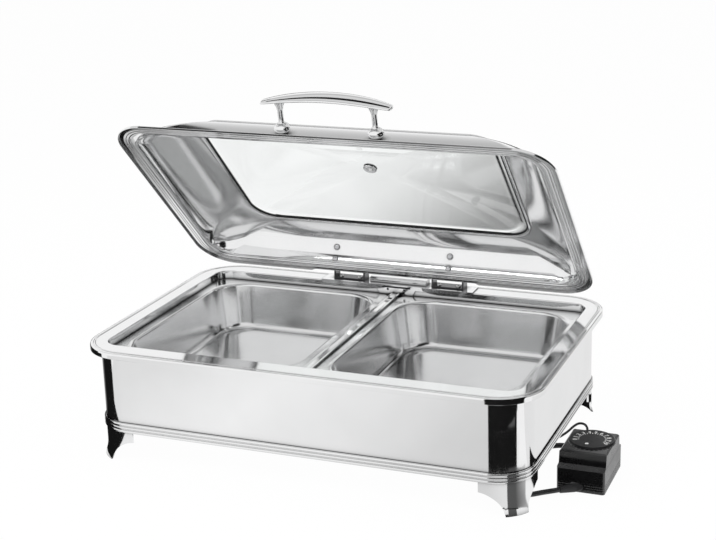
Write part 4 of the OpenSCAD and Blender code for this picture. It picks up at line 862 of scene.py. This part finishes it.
class StageOperator(bpy.types.Operator):
    """Sets the camera, the floor, the white surroundings, the lights and the glowing cards that paint dark
    reflections into polished steel and grey into the glass.
    """

    bl_idname = "dish.stage"
    bl_label = "Stage"

    def execute(self, context):
        context.scene.view_settings.view_transform = "Standard"
        context.scene.camera = self.camera()
        self.floor()
        context.scene.world = self.surroundings()
        self.lights()
        for made in CARDS:
            self.card(*made)
        return {"FINISHED"}

    def camera(self):
        turn, rise, roll = [math.radians(a) for a in (VIEW_TURN, VIEW_RISE, VIEW_ROLL)]
        back = Vector((math.sin(turn) * math.cos(rise), -math.cos(turn) * math.cos(rise), math.sin(rise)))
        level = Vector((0, 0, 1)).cross(back).normalized()
        steep = back.cross(level)
        right = level * math.cos(roll) + steep * math.sin(roll)
        up = steep * math.cos(roll) - level * math.sin(roll)
        data = bpy.data.cameras.new("photo_camera")
        data.sensor_fit = "HORIZONTAL"
        data.sensor_width = SENSOR_WIDTH
        data.lens = FOCAL_LENGTH * SENSOR_WIDTH / PICTURE_WIDTH
        data.shift_x, data.shift_y = [shift / PICTURE_WIDTH for shift in PICTURE_SHIFT]
        camera = new_object("photo_camera", data)
        spot = Vector(VIEW_TARGET) + back * VIEW_FAR
        camera.matrix_world = Matrix.Translation(spot) @ Matrix((right, up, back)).transposed().to_4x4()
        return camera

    def floor(self):
        mesh = bpy.data.meshes.new("floor")
        far = 14.0
        mesh.from_pydata([(-far, -far, 0), (far, -far, 0), (far, far, 0), (-far, far, 0)], [], [(0, 1, 2, 3)])
        floor = new_object("floor", mesh)
        floor.location.z = FLOOR_LEVEL
        material, tree, shader = new_material("floor_paper")
        set_inputs(shader, {"Roughness": 0.9, "Specular IOR Level": 0.1})
        paper = grain(tree, 3.0, 3.0)
        tree.links.new(shades(tree, paper, finishes().floor, 0.99, 1.01), shader.inputs["Base Color"])
        white = tree.nodes.new("ShaderNodeEmission")
        share = tree.nodes.new("ShaderNodeMath")
        share.operation = "MULTIPLY"
        share.inputs[1].default_value = 0.97
        tree.links.new(self.seen_rays(tree), share.inputs[0])
        surface = tree.nodes["Material Output"].inputs["Surface"]
        self.mix(tree, share.outputs["Value"], shader.outputs["BSDF"], white.outputs["Emission"], surface)
        mesh.materials.append(material)

    def seen_rays(self, tree):
        """1 for the rays that show the background: straight, mirrored or through glass."""
        path = tree.nodes.new("ShaderNodeLightPath")
        seen = path.outputs["Is Camera Ray"]
        for kind in ("Is Glossy Ray", "Is Transmission Ray"):
            either = tree.nodes.new("ShaderNodeMath")
            either.operation = "MAXIMUM"
            tree.links.new(seen, either.inputs[0])
            tree.links.new(path.outputs[kind], either.inputs[1])
            seen = either.outputs["Value"]
        return seen

    def mix(self, tree, share, first, second, surface):
        mixer = tree.nodes.new("ShaderNodeMixShader")
        for socket, value in zip(mixer.inputs, (share, first, second)):
            tree.links.new(value, socket)
        tree.links.new(mixer.outputs["Shader"], surface)

    def surroundings(self):
        """White where it is seen, and softer where it only lights."""
        world = bpy.data.worlds.new("white_studio")
        world.use_nodes = True
        tree = world.node_tree
        soft, white = tree.nodes["Background"], tree.nodes.new("ShaderNodeBackground")
        for node, strength in ((soft, 0.55), (white, 1.0)):
            set_inputs(node, {"Color": (1, 1, 1, 1), "Strength": strength})
        surface = tree.nodes["World Output"].inputs["Surface"]
        self.mix(tree, self.seen_rays(tree), soft.outputs["Background"], white.outputs["Background"], surface)
        return world

    def lights(self):
        for name, spot, aim, size, power in (
            ("key_softbox", (-1.1, -1.3, 2.0), (0, 0, 0.15), 1.4, 26.0),
            ("top_softbox", (0.2, 0.4, 2.3), (0, 0, 0.1), 1.6, 16.0),
            ("right_softbox", (1.7, -0.5, 1.0), (0.1, 0, 0.15), 1.0, 8.0),
        ):
            data = bpy.data.lights.new(name, "AREA")
            data.shape = "SQUARE"
            data.size = size
            data.energy = power
            light = new_object(name, data)
            light.location = spot
            light.rotation_euler = (Vector(aim) - Vector(spot)).to_track_quat("-Z", "Y").to_euler()
            light.visible_glossy = False

    def card(self, name, seen_by, corners, faces, greys):
        mesh = bpy.data.meshes.new(name)
        mesh.from_pydata(corners, [], faces)
        tone = mesh.color_attributes.new("tone", "FLOAT_COLOR", "POINT")
        for i, grey in enumerate(greys):
            tone.data[i].color = (grey, grey, grey, 1)
        material, tree, shader = new_material(name)
        tree.nodes.remove(shader)
        shade = tree.nodes.new("ShaderNodeAttribute")
        shade.attribute_name = "tone"
        glow = tree.nodes.new("ShaderNodeEmission")
        tree.links.new(shade.outputs["Color"], glow.inputs["Color"])
        tree.links.new(glow.outputs["Emission"], tree.nodes["Material Output"].inputs["Surface"])
        mesh.materials.append(material)
        thing = new_object(name, mesh)
        # The card glows but is hidden from the camera, diffuse light and shadows: a painted reflection in the steel,
        # and with seen_by glass a painted grey in the glass.
        thing.visible_camera = thing.visible_diffuse = thing.visible_shadow = False
        thing.visible_glossy = seen_by == "mirror"
        thing.visible_transmission = seen_by == "glass"


class CordsOperator(bpy.types.Operator):
    """Lays the mains cord with its coil and plug, and the two leads between the base and the control box."""

    bl_idname = "dish.cords"
    bl_label = "Cords"

    def execute(self, context):
        ends = [
            edged_piece("plug_body", 0.8, "plug_plastic", "black_plastic"),
            edged_piece("plug_pins", 0.25, "plug_blades", "plated_brass"),
            edged_piece("mains_relief", 0.4, "gasket_rubber", "black_rubber"),
        ]
        thick = sizes().cord
        cord, length = cord_piece("mains_cord_sheath", mains_route(), thick, "mains_cord", "cord_coil", "cord_tail")
        for node, route, thick, lay in (
            ("heater_lead", heater_route(), sizes().heater_lead, "taut"),
            ("sensor_lead", sensor_route(), sizes().sensor_lead, "loose"),
        ):
            lead, length = cord_piece(node + "_sheath", route, thick, node)
            lead.visible_glossy = False
        return {"FINISHED"}


class BaseOperator(bpy.types.Operator):
    """Makes the casing, its moulded band, the corner feet and the bottom."""

    bl_idname = "dish.base"
    bl_label = "Base"

    def execute(self, context):
        casing = drawn_sheet("casing_wall", [
            row(CASING, 0, FOOT, 0.3), row(CASING, 0, BASE_TOP, 0.3), row(CASING, -CASING_SHEET, BASE_TOP, 0.3),
            row(CASING, -CASING_SHEET, FOOT, 0.3)])
        settle(casing, "casing_polish", "base", "polished_steel", "casing")
        self.band()
        for side, across in (("left", -1), ("right", 1)):
            for end, along in (("front", -1), ("rear", 1)):
                node = f"foot_{end}_{side}"
                settle(self.foot(node, across, along), "foot_polish", "base", "polished_steel", node)
        edged_piece("bottom_screws", 0.2, "fitting_satin", "satin_steel")
        paint_node("bottom_plate", "bottom_satin")
        return {"FINISHED"}

    def band(self):
        """The foot moulding: a core with three beads round it."""
        top = FOOT + BAND_HEIGHT
        core = drawn_sheet("band_core", [row(CASING, out, level, bend) for out, level, bend in (
            (0.1, FOOT, 0.1), (1.6, FOOT, 0.2), (1.6, top, 0.2), (0.1, top, 0.1))])
        length, depth, corner = [(size + BAND_OUT - BEAD_RADIUS) * MM for size in CASING]
        beads = grow_tree("band_beads", beads_tree(), {
            "Length": 2 * length, "Depth": 2 * depth, "Corner": corner, "Bead": BEAD_RADIUS * MM, "Count": 3,
            "Pitch": BEAD_PITCH * MM, "Level": (FOOT + 2.2) * MM, "Finish": finish_of("trim_polish")})
        settle(joined("moulded_band", [core, beads]), "trim_polish", "base", "polished_steel", "base_band")

    def foot(self, node, across, along):
        """A bracket foot: a flared sheet round the corner, arched between toe and wings, with a screw tab."""
        bends = [math.radians(90 * i / 40) for i in range(41)]
        stations = [(-FOOT_WING * (1 - i / 6), 0.0, 0.0) for i in range(6)]
        stations += [(0.0, turn, 0.0) for turn in bends]
        stations += [(0.0, bends[-1], FOOT_WING * i / 6) for i in range(1, 7)]
        rings = []
        for station in stations:
            outside = self.foot_side(station, 0.0, FOOT_EDGE)
            inside = self.foot_side(station, FOOT_SHEET, -FOOT_EDGE)
            rings.append([(across * x, along * y, z) for x, y, z in outside + inside[::-1]])
        wall = loft(node + "_wall", rings, False, None, 35)
        half = math.sqrt(0.5)
        corners = [
            (across * (CASING[0] - CASING[2] + (r - w) * half), along * (CASING[1] - CASING[2] + (r + w) * half), z)
            for z in (FOOT - FOOT_SHEET, FOOT) for r, w in ((17, -11), (42.3, -11), (42.3, 11), (17, 11))]
        tab = mesh_object(node + "_tab", corners, BLOCK_FACES, None, 35)
        return joined(node + "_bracket", [wall, tab])

    def foot_side(self, station, inward, chamfer):
        """One face of the foot's sheet at a station round the corner, from the arch up."""
        low = 0.0
        for _ in range(6):
            x, y = self.foot_spot(station, low, inward)
            low = max(self.arch_level(CASING[0] - x), self.arch_level(CASING[1] - y))
        first, rise = low + FOOT_EDGE, FOOT - low - FOOT_EDGE
        heights = [first + rise * k / FOOT_LEVELS for k in range(FOOT_LEVELS + 1)]
        side = [(*self.foot_spot(station, z, inward), z) for z in heights]
        return [(*self.foot_spot(station, low, inward + chamfer), low)] + side

    def foot_spot(self, station, level, inward):
        before, turn, after = station
        radius = CASING[2] + FOOT_GAP + FLARE * max(0.0, 1 - level / WAIST) ** FLARE_POWER - inward
        return (CASING[0] - CASING[2] + before + radius * math.sin(turn),
                CASING[1] - CASING[2] - after + radius * math.cos(turn))

    def arch_level(self, reach):
        """Height of the arch at a distance from the casing's side."""
        away = abs(ARCH_MIDDLE - reach)
        return max(0.0, math.sqrt(ARCH_RADIUS ** 2 - away ** 2) - ARCH_SINK) if away < ARCH_RADIUS else 0.0


class PansOperator(bpy.types.Operator):
    """Draws the water pan with its rolled rim, the food pans and the bar between them."""

    bl_idname = "dish.pans"
    bl_label = "Pans"

    def execute(self, context):
        self.water_pan()
        for side, name in ((-1, "left"), (1, "right")):
            self.food_pan("food_pan_" + name, side * PAN_PITCH / 2)
        edged_piece("divider_bar", 0.35, "rim_polish", "polished_steel")
        return {"FINISHED"}

    def water_pan(self):
        t = CASING_SHEET
        x, y, corner = WATER_OPENING
        rows = [
            (x - 12 + t, y - 12 + t, corner - 6, WATER_BOTTOM, 0, 0.0),
            (x - 6 + t, y - 6 + t, corner, WATER_BOTTOM + 6, 0, 3.0),
            (x + t, y + t, corner + t, LEDGE_TOP - t, 0, 0.5),
            row(RECESS, t, LEDGE_TOP - t, 0.5),
            row(RECESS, t, RIM_TOP - t, 0.5),
            row(RIM, -t, RIM_TOP - t, 0.6),
            row(RIM, -t, RIM_TOP - RIM_EDGE, 0.2),
            row(RIM, 0, RIM_TOP - RIM_EDGE, 0.4),
            row(RIM, 0, RIM_TOP, 2.6),
            row(RIM, -4.2, RIM_TOP, 0.3),
            row(RIM, -5.0, RIM_TOP + RIM_BEAD, 0.4),
            row(RIM, -6.2, RIM_TOP + RIM_BEAD, 0.4),
            row(RIM, -7.0, RIM_TOP, 0.3),
            row(RECESS, 0, RIM_TOP, 1.2),
            row(RECESS, 0, LEDGE_TOP, 0.8),
            (x, y, corner, LEDGE_TOP, 0, 1.2),
            (x - 6, y - 6, corner, WATER_BOTTOM + t + 6, 0, 3.0),
            (x - 12, y - 12, corner - 6, WATER_BOTTOM + t, 0, 0.0),
        ]
        pan = drawn_sheet("water_pan_sheet", rows, looped=False)
        settle(pan, "rim_polish", "base", "polished_steel", "water_pan")

    def food_pan(self, node, middle):
        t = PAN_SHEET
        x, y, corner = PAN_OPENING
        low_x, low_y, low_corner, low = x - 10, y - 10, corner - 6, PAN_TOP - PAN_DEPTH
        rows = [
            (low_x + t - 10, low_y + t - 10, low_corner - 10, low - t, 0, 0.0),
            (low_x + t, low_y + t, low_corner, low - t, 0, 9.0),
            (x + t, y + t, corner + t, PAN_TOP - t, 0, 1.6),
            row(PAN_FLANGE, 0, PAN_TOP - t, 0.2),
            row(PAN_FLANGE, 0, PAN_TOP, 0.5),
            (x, y, corner, PAN_TOP, 0, 3.0),
            (low_x, low_y, low_corner, low, 0, 9.0),
            (low_x - 10, low_y - 10, low_corner - 10, low, 0, 0.0),
        ]
        pan = drawn_sheet(node + "_sheet", rows, Matrix.Translation((middle, 0, 0)), looped=False)
        settle(pan, "pan_satin", "base", "satin_steel", node)


class HingeOperator(bpy.types.Operator):
    """Finishes the hinge: its folded plate, brackets, cover, pins, screws, arms and rivets."""

    bl_idname = "dish.hinge"
    bl_label = "Hinge"

    def execute(self, context):
        self.plate()
        for node, edge, finish, body in (
            ("hinge_cover", 0.35, "hinge_polish", "base"), ("hinge_bracket_left", 0.35, "hinge_dark", "base"),
            ("hinge_bracket_right", 0.35, "hinge_dark", "base"), ("hinge_pins", 0.3, "hinge_dark", "base"),
            ("hinge_arm_left", 0.35, "hinge_dark", "lid"), ("hinge_arm_right", 0.35, "hinge_dark", "lid"),
        ):
            edged_piece(node, edge, finish, "polished_steel", body)
        screws = [Matrix.Translation((side * HINGE_SPACING + s * HINGE_SCREW_REACH, HINGE[1] - 3, 152.0))
                  for side in (-1, 1) for s in (-1, 1)]
        heads = fasteners("hinge_screw_heads", [
            (0.01, -8), (2, -8), (2, 0), (3.6, 0), (3.5, 0.7), (2.9, 1.5), (1.6, 1.8), (0.9, 1.8)],
            screws, "fitting_satin", 0.7)
        settle(heads, None, "base", "satin_steel", "hinge_screws")
        rivets = fasteners("lid_rivet_heads", [
            (0.01, -2.7), (1.7, -2.6), (3.3, -2.2), (4.2, -1.62), (4.3, -1.5), (2.5, -1.45), (2.5, 3.6), (4.3, 3.75),
            (4.1, 4.2), (2.7, 4.8), (0.01, 4.95)], rivet_places(), "rivet_steel")
        settle(rivets, None, "lid", "polished_steel", "lid_rivets")
        return {"FINISHED"}

    def plate(self):
        """The folded plate, with a thin dark strip behind the slot and the holes of its tongue: painted shade inside
        them.
        """
        plate = edged_copy("hinge_base", 0.35)
        dress(plate.data, "hinge_polish", "gasket_rubber")
        shell = bmesh.new()
        shell.from_mesh(plate.data)
        front = min(corner.co.y for corner in shell.verts)
        # A dark strip just behind the tongue stands in for the shade in its slot and holes: painted shade.
        middle = Vector((0, 1.2, 143.9)) * MM + Vector((0, front, 0))
        size = Matrix.Diagonal((46 * MM, 0.3 * MM, 9.4 * MM, 1))
        known = set(shell.faces)
        bmesh.ops.create_cube(shell, size=1, matrix=Matrix.Translation(middle) @ size)
        for face in set(shell.faces) - known:
            face.material_index = 1
        shell.to_mesh(plate.data)
        shell.free()
        settle(plate, None, "base", "polished_steel", "hinge_base")


class LidOperator(bpy.types.Operator):
    """Draws the lid: turned-down edge, flange, step, unequal walls and the ledge round the window."""

    bl_idname = "dish.lid"
    bl_label = "Lid"

    def execute(self, context):
        t, step = LID_SHEET, LID_FLANGE + 1
        rows = [row(LID, 0, -LID_LIP, 0.2), row(LID, 0, t, 0.8), *self.beads(t),
                row(LID, -LID_FLANGE, t, 0.4), row(LID, -step, WALL_BASE, 0.4)]
        rows += [wall_row(k / WALL_STEPS, 0) for k in range(WALL_STEPS + 1)]
        rows += [(*OPENING, DOME_TOP, 0, 0.3), (*OPENING, DOME_TOP - t, 0, 0.3)]
        rows += [wall_row(1 - k / WALL_STEPS, 1) for k in range(WALL_STEPS + 1)]
        rows += [row(LID, -step - t, WALL_BASE - t, 0.4), row(LID, -LID_FLANGE - t, 0, 0.4), *self.beads(0)[::-1],
                 row(LID, -t, 0, 0.6), row(LID, -t, -LID_LIP, 0.2)]
        rear = [side * (PLATE_HALF + reach) for side, reach in ((1, 12), (1, 9), (1, 6), (-1, 6), (-1, 9), (-1, 12))]
        shell = drawn_sheet("lid_sheet", rows, LID_PLACE, True, rear, self.fade_lip)
        settle(shell, "lid_satin", "lid", "polished_steel", "lid_shell")
        return {"FINISHED"}

    def beads(self, level):
        """Shallow beads that stiffen the flange, from its edge inwards."""
        rise, half = 0.6, 1.1
        rows = []
        for place in LID_BEADS:
            rows += [row(LID, -(place - half), level, 0.3), row(LID, -place, level + rise, 0.5),
                     row(LID, -(place + half), level, 0.3)]
        return rows

    def fade_lip(self, point):
        """The turned-down edge stops short of the hinge plate."""
        x, y, z = point
        if y > LID[1] - 3 and z < 0:
            shown = min(1.0, max(0.0, (abs(x) - PLATE_HALF - 6) / 6))
            z = z * shown + max(z, -0.1) * (1 - shown)
        return x, y, z


class WindowOperator(bpy.types.Operator):
    """Makes the domed glass with its gasket, trim rings and steam vent."""

    bl_idname = "dish.window"
    bl_label = "Window"

    def execute(self, context):
        self.glass()
        under, seat = DOME_TOP - 1, GLASS_BASE + 2.1
        for name, finish, slot, profile in (
            ("gasket", "gasket_rubber", "black_rubber", [
                (0, under, 0.2), (3.8, under, 0.2), (3.8, GLASS_BASE, 0.2), (0, GLASS_BASE, 0.2)]),
            ("bezel", "trim_polish", "polished_steel", [
                (0.5, seat, 0.2), (4.5, seat, 0.1), (4.5, DOME_TOP, 0.1), (7, DOME_TOP, 0.2), (7, seat + 0.8, 0.5),
                (0.5, seat + 0.8, 0.3)]),
            ("retainer", "trim_polish", "polished_steel", [
                (2.2, under, 0.1), (2.2, under - 0.9, 0.3), (3.6, under - 0.9, 0.2), (3.6, under - 1.6, 0.3),
                (4.7, under - 1.6, 0.3), (5.7, under - 0.9, 0.3), (5.7, under, 0.1)]),
        ):
            ring = drawn_sheet(f"window_{name}_ring", [row(WINDOW, *corner) for corner in profile], LID_PLACE)
            settle(ring, finish, "lid", slot, "window_" + name)
        crown = GLASS_BASE + GLASS_RISE
        vent = lathe("steam_vent", [(radius, crown + level) for radius, level in (
            (4.0, -1.9), (8.2, -1.9), (8.8, -1.6), (9.0, -1.2), (9.0, -0.3), (5.8, -0.3), (5.8, 3.2), (9.0, 3.2),
            (9.0, 4.0), (8.7, 4.4), (8.2, 4.6), (5.2, 4.6), (4.4, 4.3), (4.0, 3.6))], LID_PLACE, looped=True)
        settle(vent, "trim_polish", "lid", "polished_steel", "vent_ring")
        return {"FINISHED"}

    def glass(self):
        """A domed pane with a flat margin and a hole in its crown for the vent."""
        edge = [size - 0.3 for size in OPENING]
        shares = [1.0, 0.985, GLASS_MARGIN, 0.95, 0.92] + [0.92 * (1 - k / 18) for k in range(1, 19)]
        top = [(s, 2.0 if s >= GLASS_MARGIN else 3.0) for s in shares]
        rings = []
        for s, thick in top + [(s, 0.0) for s in reversed(shares)]:
            rise = GLASS_RISE * (1 - min(1.0, s / GLASS_MARGIN) ** 2)
            plan = [GLASS_HOLE + (e - GLASS_HOLE) * s for e in edge]
            rings.append(rounded_ring(*plan, GLASS_BASE + rise + thick))
        glass = loft("window_pane", rings, True, LID_PLACE, 40)
        settle(glass, "window_glass_clear", "lid", "clear_glass", "window_glass")


class HandleOperator(bpy.types.Operator):
    """Shapes the arched grip and turns its two posts."""

    bl_idname = "dish.handle"
    bl_label = "Handle"

    def execute(self, context):
        place = handle_place()
        feet = [place @ Matrix.Translation((side * HANDLE_SPACING / 2, 0, 0)) for side in (-1, 1)]
        grip = loft("grip_bar", self.grip_rings(64, 40), False, place, 50)
        settle(grip, "handle_polish", "lid", "polished_steel", "handle_grip")
        ball = [math.radians(a) for a in range(-62, 70, 6)]
        profile = [(0.01, 0.2), (7.0, 0.2)] + [(10.2 * math.cos(a), 7.4 + 8 * math.sin(a)) for a in ball]
        profile += [(POST_RADIUS + out, z) for out, z in (
            (0.5, 15.3), (0, 16.4), (0, 22), (0, POST_HEIGHT - 12), (0.8, POST_HEIGHT - 8), (2.4, POST_HEIGHT - 4),
            (4, POST_HEIGHT))]
        posts = [lathe("post", profile + [(0.01, POST_HEIGHT)], foot, 48, 50) for foot in feet]
        settle(joined("handle_post_pair", posts), "handle_polish", "lid", "polished_steel", "handle_posts")
        below = Matrix.Translation((0, 0, -1)) @ Matrix.Rotation(math.pi, 4, "X")
        heads = fasteners("handle_screw_heads", [
            (0.01, -1.1), (2, -1.1), (2, -0.4), (5, -0.4), (4.9, 0.4), (4.2, 1.4), (3.0, 2.0), (1.3, 2.0)],
            [foot @ below for foot in feet], "fitting_satin", 0.8)
        settle(heads, None, "lid", "satin_steel", "handle_screws")
        return {"FINISHED"}

    def grip_rings(self, stations, sides):
        """Ovals along the arched grip, which thins towards its rounded ends."""
        long, wide, thick = GRIP
        turns = [2 * math.pi * j / sides for j in range(sides)]
        rings = []
        for i in range(stations + 1):
            s = math.sin(math.pi * (i / stations - 0.5))
            full = math.sqrt(1 - 0.94 * s * s)
            end = 1 - max(0.0, (abs(s) - 0.985) / 0.015) ** 2 * 0.35
            half_w = wide / 2 * (0.25 + 0.75 * full) * end
            half_t = thick / 2 * (0.35 + 0.65 * full) * end
            middle = POST_HEIGHT + 2 + GRIP_ARCH * ((HANDLE_SPACING / long) ** 2 - s * s)
            rings.append([(s * long / 2, half_w * math.cos(a), middle + half_t * math.sin(a)) for a in turns])
        return rings


class ControlBoxOperator(bpy.types.Operator):
    """Finishes the control box, its dial, the printed marks and the fittings, and keeps them out of mirror images."""

    bl_idname = "dish.control_box"
    bl_label = "Control box"

    def execute(self, context):
        shown = [
            edged_piece("box_tray", 0.3, "box_plastic", "black_plastic"),
            edged_piece("box_cover", 0.7, "box_plastic", "black_plastic"),
            edged_piece("box_grommets", 0.3, "gasket_rubber", "black_rubber"),
            edged_piece("dial", 0.25, "dial_plastic", "black_plastic", "dial"),
        ]
        spot = Vector((*DIAL, DIAL_FACE))
        ticks = grow_tree("dial_mark_ring", marks_tree(), {
            "Radius": sizes().mark_radius, "Count": sizes().mark_count, "Sweep": math.radians(220),
            "Start": math.radians(-20), "Length": 2.4 * MM, "Width": sizes().mark_width, "Height": 0.2 * MM,
            "Place": spot * MM, "Finish": finish_of("dial_mark_print")})
        shown.append(settle(ticks, None, "dial", "black_plastic"))
        shown.append(settle(self.numerals(spot), "dial_mark_print", "dial", "black_plastic"))
        dot_place = Matrix.Translation(spot - Vector((3, 15, 0)))
        dot = lathe("dial_dot", [(0.01, 0.0), (2.2, 0.0), (2.1, 0.1), (0.01, 0.12)], dot_place, 32)
        shown.append(settle(dot, "dial_mark_print", "dial", "black_plastic"))
        for node in ("dial_shaft", "thermostat_body", "box_screws"):
            paint_node(node, "fitting_satin")
            shown.append(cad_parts[node])
        for thing in shown:
            thing.visible_glossy = False
        return {"FINISHED"}

    def numerals(self, spot):
        """Plain figures from 0 to 10 round the rear of the dial, their tops outwards."""
        figures = []
        for k in range(11):
            curve = bpy.data.curves.new("figure", "FONT")
            curve.body = str(k)
            curve.align_x = curve.align_y = "CENTER"
            curve.size = sizes().figure_height * 1.42
            curve.extrude = 0.05 * MM
            curve.offset = 0.12 * MM
            writer = new_object("figure", curve)
            mesh = evaluated_mesh(writer)
            bpy.data.objects.remove(writer)
            turn = math.radians(200 - 22 * k)
            place = Matrix.Translation((spot + Vector((math.cos(turn), math.sin(turn), 0)) * FIGURE_CIRCLE) * MM)
            mesh.transform(place @ Matrix.Rotation(turn - math.pi / 2, 4, "Z"))
            figures.append(new_object("figure", mesh))
        return joined("dial_numerals", figures)


class HeatingOperator(bpy.types.Operator):
    """Gives the heating parts inside the base their finishes."""

    bl_idname = "dish.heating"
    bl_label = "Heating"

    def execute(self, context):
        for node, finish in (
            ("heater_plate", "cast_plate"), ("heater_element", "element_sheath"), ("heater_clamp", "fitting_satin"),
            ("heater_nuts", "fitting_satin"), ("sensor_bulb", "fitting_satin"), ("thermal_cutout", "inner_plastic"),
            ("terminal_block", "inner_plastic"), ("sensor_grommet", "gasket_rubber"),
        ):
            paint_node(node, finish)
        edged_piece("heater_outlet", 0.8, "box_plastic", "black_plastic")
        return {"FINISHED"}


class DishPanel(bpy.types.Panel):
    """Lists the sizes, the finishes and the pieces of the dish in the sidebar."""

    bl_idname = "VIEW3D_PT_dish"
    bl_label = "Chafing dish"
    bl_space_type = "VIEW_3D"
    bl_region_type = "UI"
    bl_category = "Dish"

    def draw(self, context):
        for group in (context.scene.dish_sizes, context.scene.dish_finishes):
            for name in group.bl_rna.properties.keys():
                if name not in ("rna_type", "name"):
                    self.layout.prop(group, name)
        for operator in OPERATORS:
            self.layout.operator(operator.bl_idname)


OPERATORS = (StageOperator, CordsOperator, BaseOperator, PansOperator, HingeOperator, LidOperator, WindowOperator,
             HandleOperator, ControlBoxOperator, HeatingOperator)
CLASSES = (DishFinishes, DishSizes, *OPERATORS, DishPanel)


def register():
    for cls in CLASSES:
        bpy.utils.register_class(cls)
    bpy.types.Scene.dish_finishes = bpy.props.PointerProperty(type=DishFinishes)
    bpy.types.Scene.dish_sizes = bpy.props.PointerProperty(type=DishSizes)


def unregister():
    del bpy.types.Scene.dish_sizes
    del bpy.types.Scene.dish_finishes
    for cls in reversed(CLASSES):
        bpy.utils.unregister_class(cls)


def main():
    register()
    bpy.ops.dish.stage()
    bpy.ops.dish.cords()
    bpy.ops.dish.base()
    bpy.ops.dish.pans()
    bpy.ops.dish.hinge()
    bpy.ops.dish.lid()
    bpy.ops.dish.window()
    bpy.ops.dish.handle()
    bpy.ops.dish.control_box()
    bpy.ops.dish.heating()


if __name__ == "__main__":
    main()
